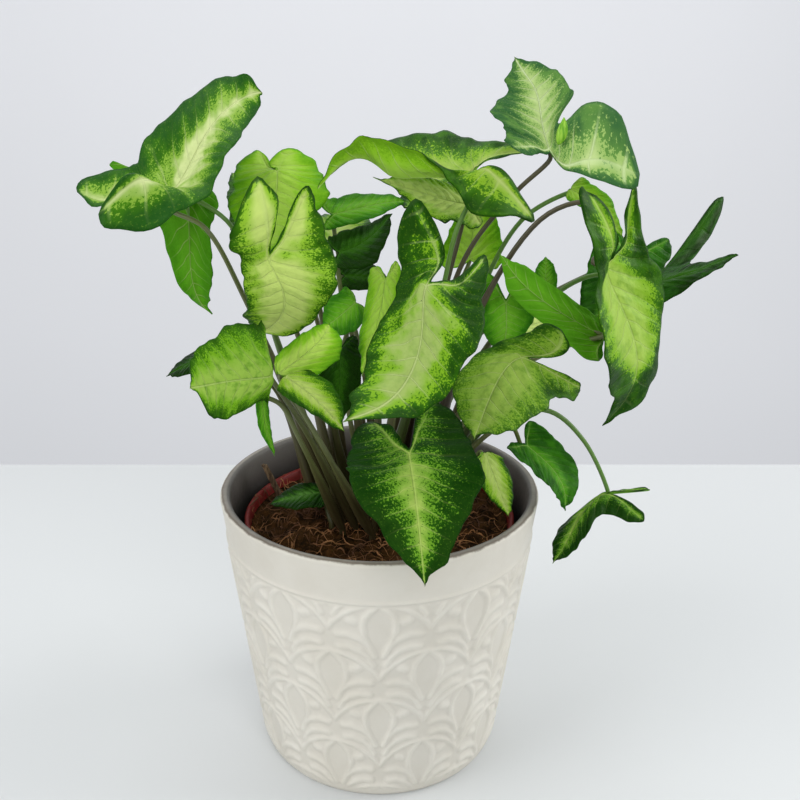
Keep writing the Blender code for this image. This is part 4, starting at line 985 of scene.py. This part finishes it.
def make_soil():
    """Crumbly coir soil."""
    foot = POT_FLOOR + 2 * SEAT + INNER_WALL
    base = INNER_BASE_RADIUS - INNER_WALL - SEAT * 1.5
    rim = INNER_NECK - INNER_WALL
    edge = base + (rim - base) * (SOIL_TOP - SOIL_DIP - foot) / (INNER_TOP - INNER_LIP - foot) - SEAT
    profile = [(0.0, foot), (base, foot)]
    profile += [(radius, SOIL_TOP) for radius in np.linspace(edge, 0.0006, SOIL_RINGS)]
    points, faces = revolve(profile + [(0.0, SOIL_TOP)], SOIL_SIDES)
    points[1 + SOIL_SIDES:, 2] = soil_surface(points[1 + SOIL_SIDES:, 0], points[1 + SOIL_SIDES:, 1])
    points[1 + SOIL_SIDES:1 + 2 * SOIL_SIDES, 2] = SOIL_TOP - SOIL_DIP
    n = Nodes("coir_soil", (0.045, 0.020, 0.010))
    where = n.place()
    blot, fine = n.noise(where, 150.0, 5.0, 0.65), n.noise(where, 900.0, 4.0, 0.7)
    colour = n.blend(blot, 0.35, 0.65, (0.014, 0.007, 0.002), (0.085, 0.036, 0.010))
    colour = n.blend(fine, 0.55, 0.72, colour, (0.170, 0.075, 0.028), 0.7)
    n.set(Specular_IOR_Level=0.08)
    earth = n.coat(colour, 0.92, n.math("ADD", blot, fine), 1.0, 0.0012)
    dress(mesh_piece("coir_soil", points, faces), (earth,), "soil")


def fibre_path(draw):
    """Curved path of one fibre on the soil, cut off at the pot's wall, and its half thickness."""
    x, y = scattered(draw, 0.0585)
    head = draw.random() * 2 * math.pi
    step = (0.004 + 0.012 * draw.random() ** 2) / FIBRE_STEPS
    turn = (draw.random() - 0.5) * 2.6
    thick = 0.00010 + 0.00034 * draw.random() ** 3
    path = []
    for i in range(FIBRE_STEPS):
        if math.hypot(x, y) > FIBRE_RADIUS:
            break
        path.append((x, y))
        angle = head + turn * i / FIBRE_STEPS
        x += step * math.cos(angle)
        y += step * math.sin(angle)
    return np.array(path), thick


def make_fibres():
    """Loose coir fibres on the soil, the outermost over the nursery pot's lip."""
    draw = np.random.default_rng(11)
    points, faces = [], []
    for _ in range(FIBRES):
        path, thick = fibre_path(draw)
        if len(path) < 4:
            continue
        z = soil_surface(path[:, 0], path[:, 1])
        climb = np.clip((np.hypot(path[:, 0], path[:, 1]) - 0.0545) / 0.0025, 0.0, 1.0)
        z += (INNER_TOP + 0.0002 - z) * climb ** 2 * (3 - 2 * climb)
        z += 0.0002 + 0.0013 * draw.random() * np.sin(np.linspace(0, math.pi, len(path)))
        faces += tube_faces(len(path), 3, len(points))
        for i, (x, y) in enumerate(path):
            size = thick * (1.0 - 0.6 * abs(2 * i / (len(path) - 1) - 1) ** 3)
            ahead = unit(path[min(i + 1, len(path) - 1)] - path[max(i - 1, 0)])
            side = np.array([-ahead[1], ahead[0]]) * size
            points += [(x + side[0], y + side[1], z[i]), (x, y, z[i] + size * 1.4),
                       (x - side[0], y - side[1], z[i])]
    n = Nodes("coir_fibre", (0.250, 0.110, 0.040))
    where = n.place()
    colour = n.blend(n.noise(where, 70.0, 1.0), 0.35, 0.65, (0.110, 0.042, 0.015), (0.420, 0.190, 0.070))
    coir = n.coat(colour, 0.8, n.noise(where, 1500.0, 2.0), 0.3, 0.0002)
    dress(mesh_piece("coir_fibres", points, faces), (coir,))


def make_stub():
    """Dry, split stub of a cut leaf stalk."""
    foot = soil_root(*STUB_ROOT)
    mouth = foot + np.array([0.0, 0.0, ROOT_DEPTH + 0.0005])
    top = at(*STUB_TOP)
    path = np.vstack([foot, smooth_path([mouth, (mouth + top) / 2, top], 26)])
    points = []
    ragged = np.random.default_rng(3).random(STUB_SIDES)
    for i, centre in enumerate(path):
        share = i / (len(path) - 1)
        size = 0.00150 + 0.00020 * math.sin(math.pi * share) - 0.00020 * share
        for k in range(STUB_SIDES):
            turn = 2 * math.pi * k / STUB_SIDES
            wide = size * (1.0 - 0.10 * abs(math.sin(3.5 * turn)))
            lift = -0.0014 * ragged[k] if share == 1.0 else 0.0
            points.append(centre + np.array([wide * math.cos(turn), wide * math.sin(turn), lift]))
    # The cut end is a fan round a sunken middle
    end = len(points)
    faces = tube_faces(len(path), STUB_SIDES)[:-1]
    faces += [(end - STUB_SIDES + k, end - STUB_SIDES + (k + 1) % STUB_SIDES, end)
              for k in range(STUB_SIDES)]
    points.append(path[-1] - np.array([0.0, 0.0, 0.0016]))
    n = Nodes("dry_stalk", (0.160, 0.100, 0.050))
    streak = n.noise(n.place(0.12), 900.0, 4.0, 0.65)
    colour = n.blend(streak, 0.35, 0.65, (0.070, 0.040, 0.020), (0.260, 0.170, 0.090))
    dress(mesh_piece("dry_stalk_stub", points, faces), (n.coat(colour, 0.85, streak, 0.8, 0.0005),),
          "dry_stub")


def make_rolled_leaf():
    """Young leaf, still rolled, in the notch of the top right blade."""
    base, tip = at(*ROLL_BASE), at(*ROLL_TIP)
    share = np.linspace(0.0, 1.0, ROLL_STEPS)
    path = base + (tip - base) * share[:, None]
    path[:, 0] += 0.0006 * np.sin(np.pi * share)
    radii = ROLL_RADIUS * np.clip(np.sin(np.pi * share ** 0.8) ** 0.8, 0.03, 1.0)
    points = tube(path, radii, 24, 0.35, 0.7)
    n = Nodes("rolled_leaf", (0.220, 0.470, 0.035))
    streak = n.noise(n.place(0.15), 900.0, 3.0, 0.6)
    colour = n.blend(streak, 0.35, 0.65, (0.110, 0.340, 0.010), (0.330, 0.600, 0.060))
    n.set(Specular_IOR_Level=0.2)
    dress(mesh_piece("rolled_young_leaf", points, tube_faces(ROLL_STEPS, 24)),
          (n.coat(colour, 0.45, streak, 0.4, 0.0003),))


def make_stage():
    """Camera, pale table, pale backdrop and soft studio light."""
    scene = bpy.context.scene
    camera = bpy.data.objects.new("camera", bpy.data.cameras.new("camera"))
    scene.collection.objects.link(camera)
    camera.location = VIEW_EYE
    camera.rotation_euler = (math.pi / 2 - VIEW_PITCH, 0.0, 0.0)
    camera.data.sensor_width = SENSOR
    camera.data.lens = SENSOR * VIEW_FOCAL / VIEW_SIZE
    camera.data.shift_x = (VIEW_SIZE / 2 - VIEW_CENTRE[0]) / VIEW_SIZE
    scene.camera = camera
    floor = mesh_piece("table", [(-3, -1.2, 0), (3, -1.2, 0), (3, 0.29, 0), (-3, 0.29, 0)],
                       [(0, 1, 2, 3)])
    wall = mesh_piece("backdrop", [(-4, 1.5, -1), (4, 1.5, -1), (4, 1.5, 3), (-4, 1.5, 3)],
                      [(0, 1, 2, 3)])
    for thing, tone, glow in ((floor, (0.630, 0.648, 0.652), 0.07), (wall, (0.660, 0.670, 0.695), 0.52)):
        n = Nodes(thing.name + "_paint", tone)
        colour = n.blend(n.noise(n.place(), 3.0, 2.0), 0.3, 0.7, tone, tuple(c * 0.985 for c in tone))
        n.set(Base_Color=colour, Roughness=0.6, Emission_Color=tone, Emission_Strength=glow)
        thing.data.materials.append(n.material)
    world = bpy.data.worlds.new("studio")
    world.use_nodes = True
    sky = world.node_tree.nodes["Background"].inputs
    sky["Color"].default_value = (0.93, 0.96, 1.0, 1.0)
    sky["Strength"].default_value = 0.26
    scene.world = world
    for name, place, size, power in (
            ("overhead", (-0.15, 0.15, 1.35), 1.3, 7.0), ("left_window", (-1.1, -0.55, 0.75), 0.9, 8.5),
            ("front_fill", (0.35, -1.15, 0.75), 0.9, 7.0), ("right_side", (1.15, 0.15, 0.75), 0.9, 8.5)):
        light = bpy.data.objects.new(name, bpy.data.lights.new(name, "AREA"))
        light.data.shape = "DISK"
        light.data.size = size
        light.data.energy = power
        light.location = place
        light.rotation_euler = (Vector(LIT_POINT) - Vector(place)).to_track_quat("-Z", "Y").to_euler()
        scene.collection.objects.link(light)
    scene.view_settings.view_transform = "Standard"


make_stage()
make_leaves()
make_rolled_leaf()
make_outer_pot()
make_nursery_pot()
make_soil()
make_fibres()
make_stub()

bpy.context.view_layer.update()
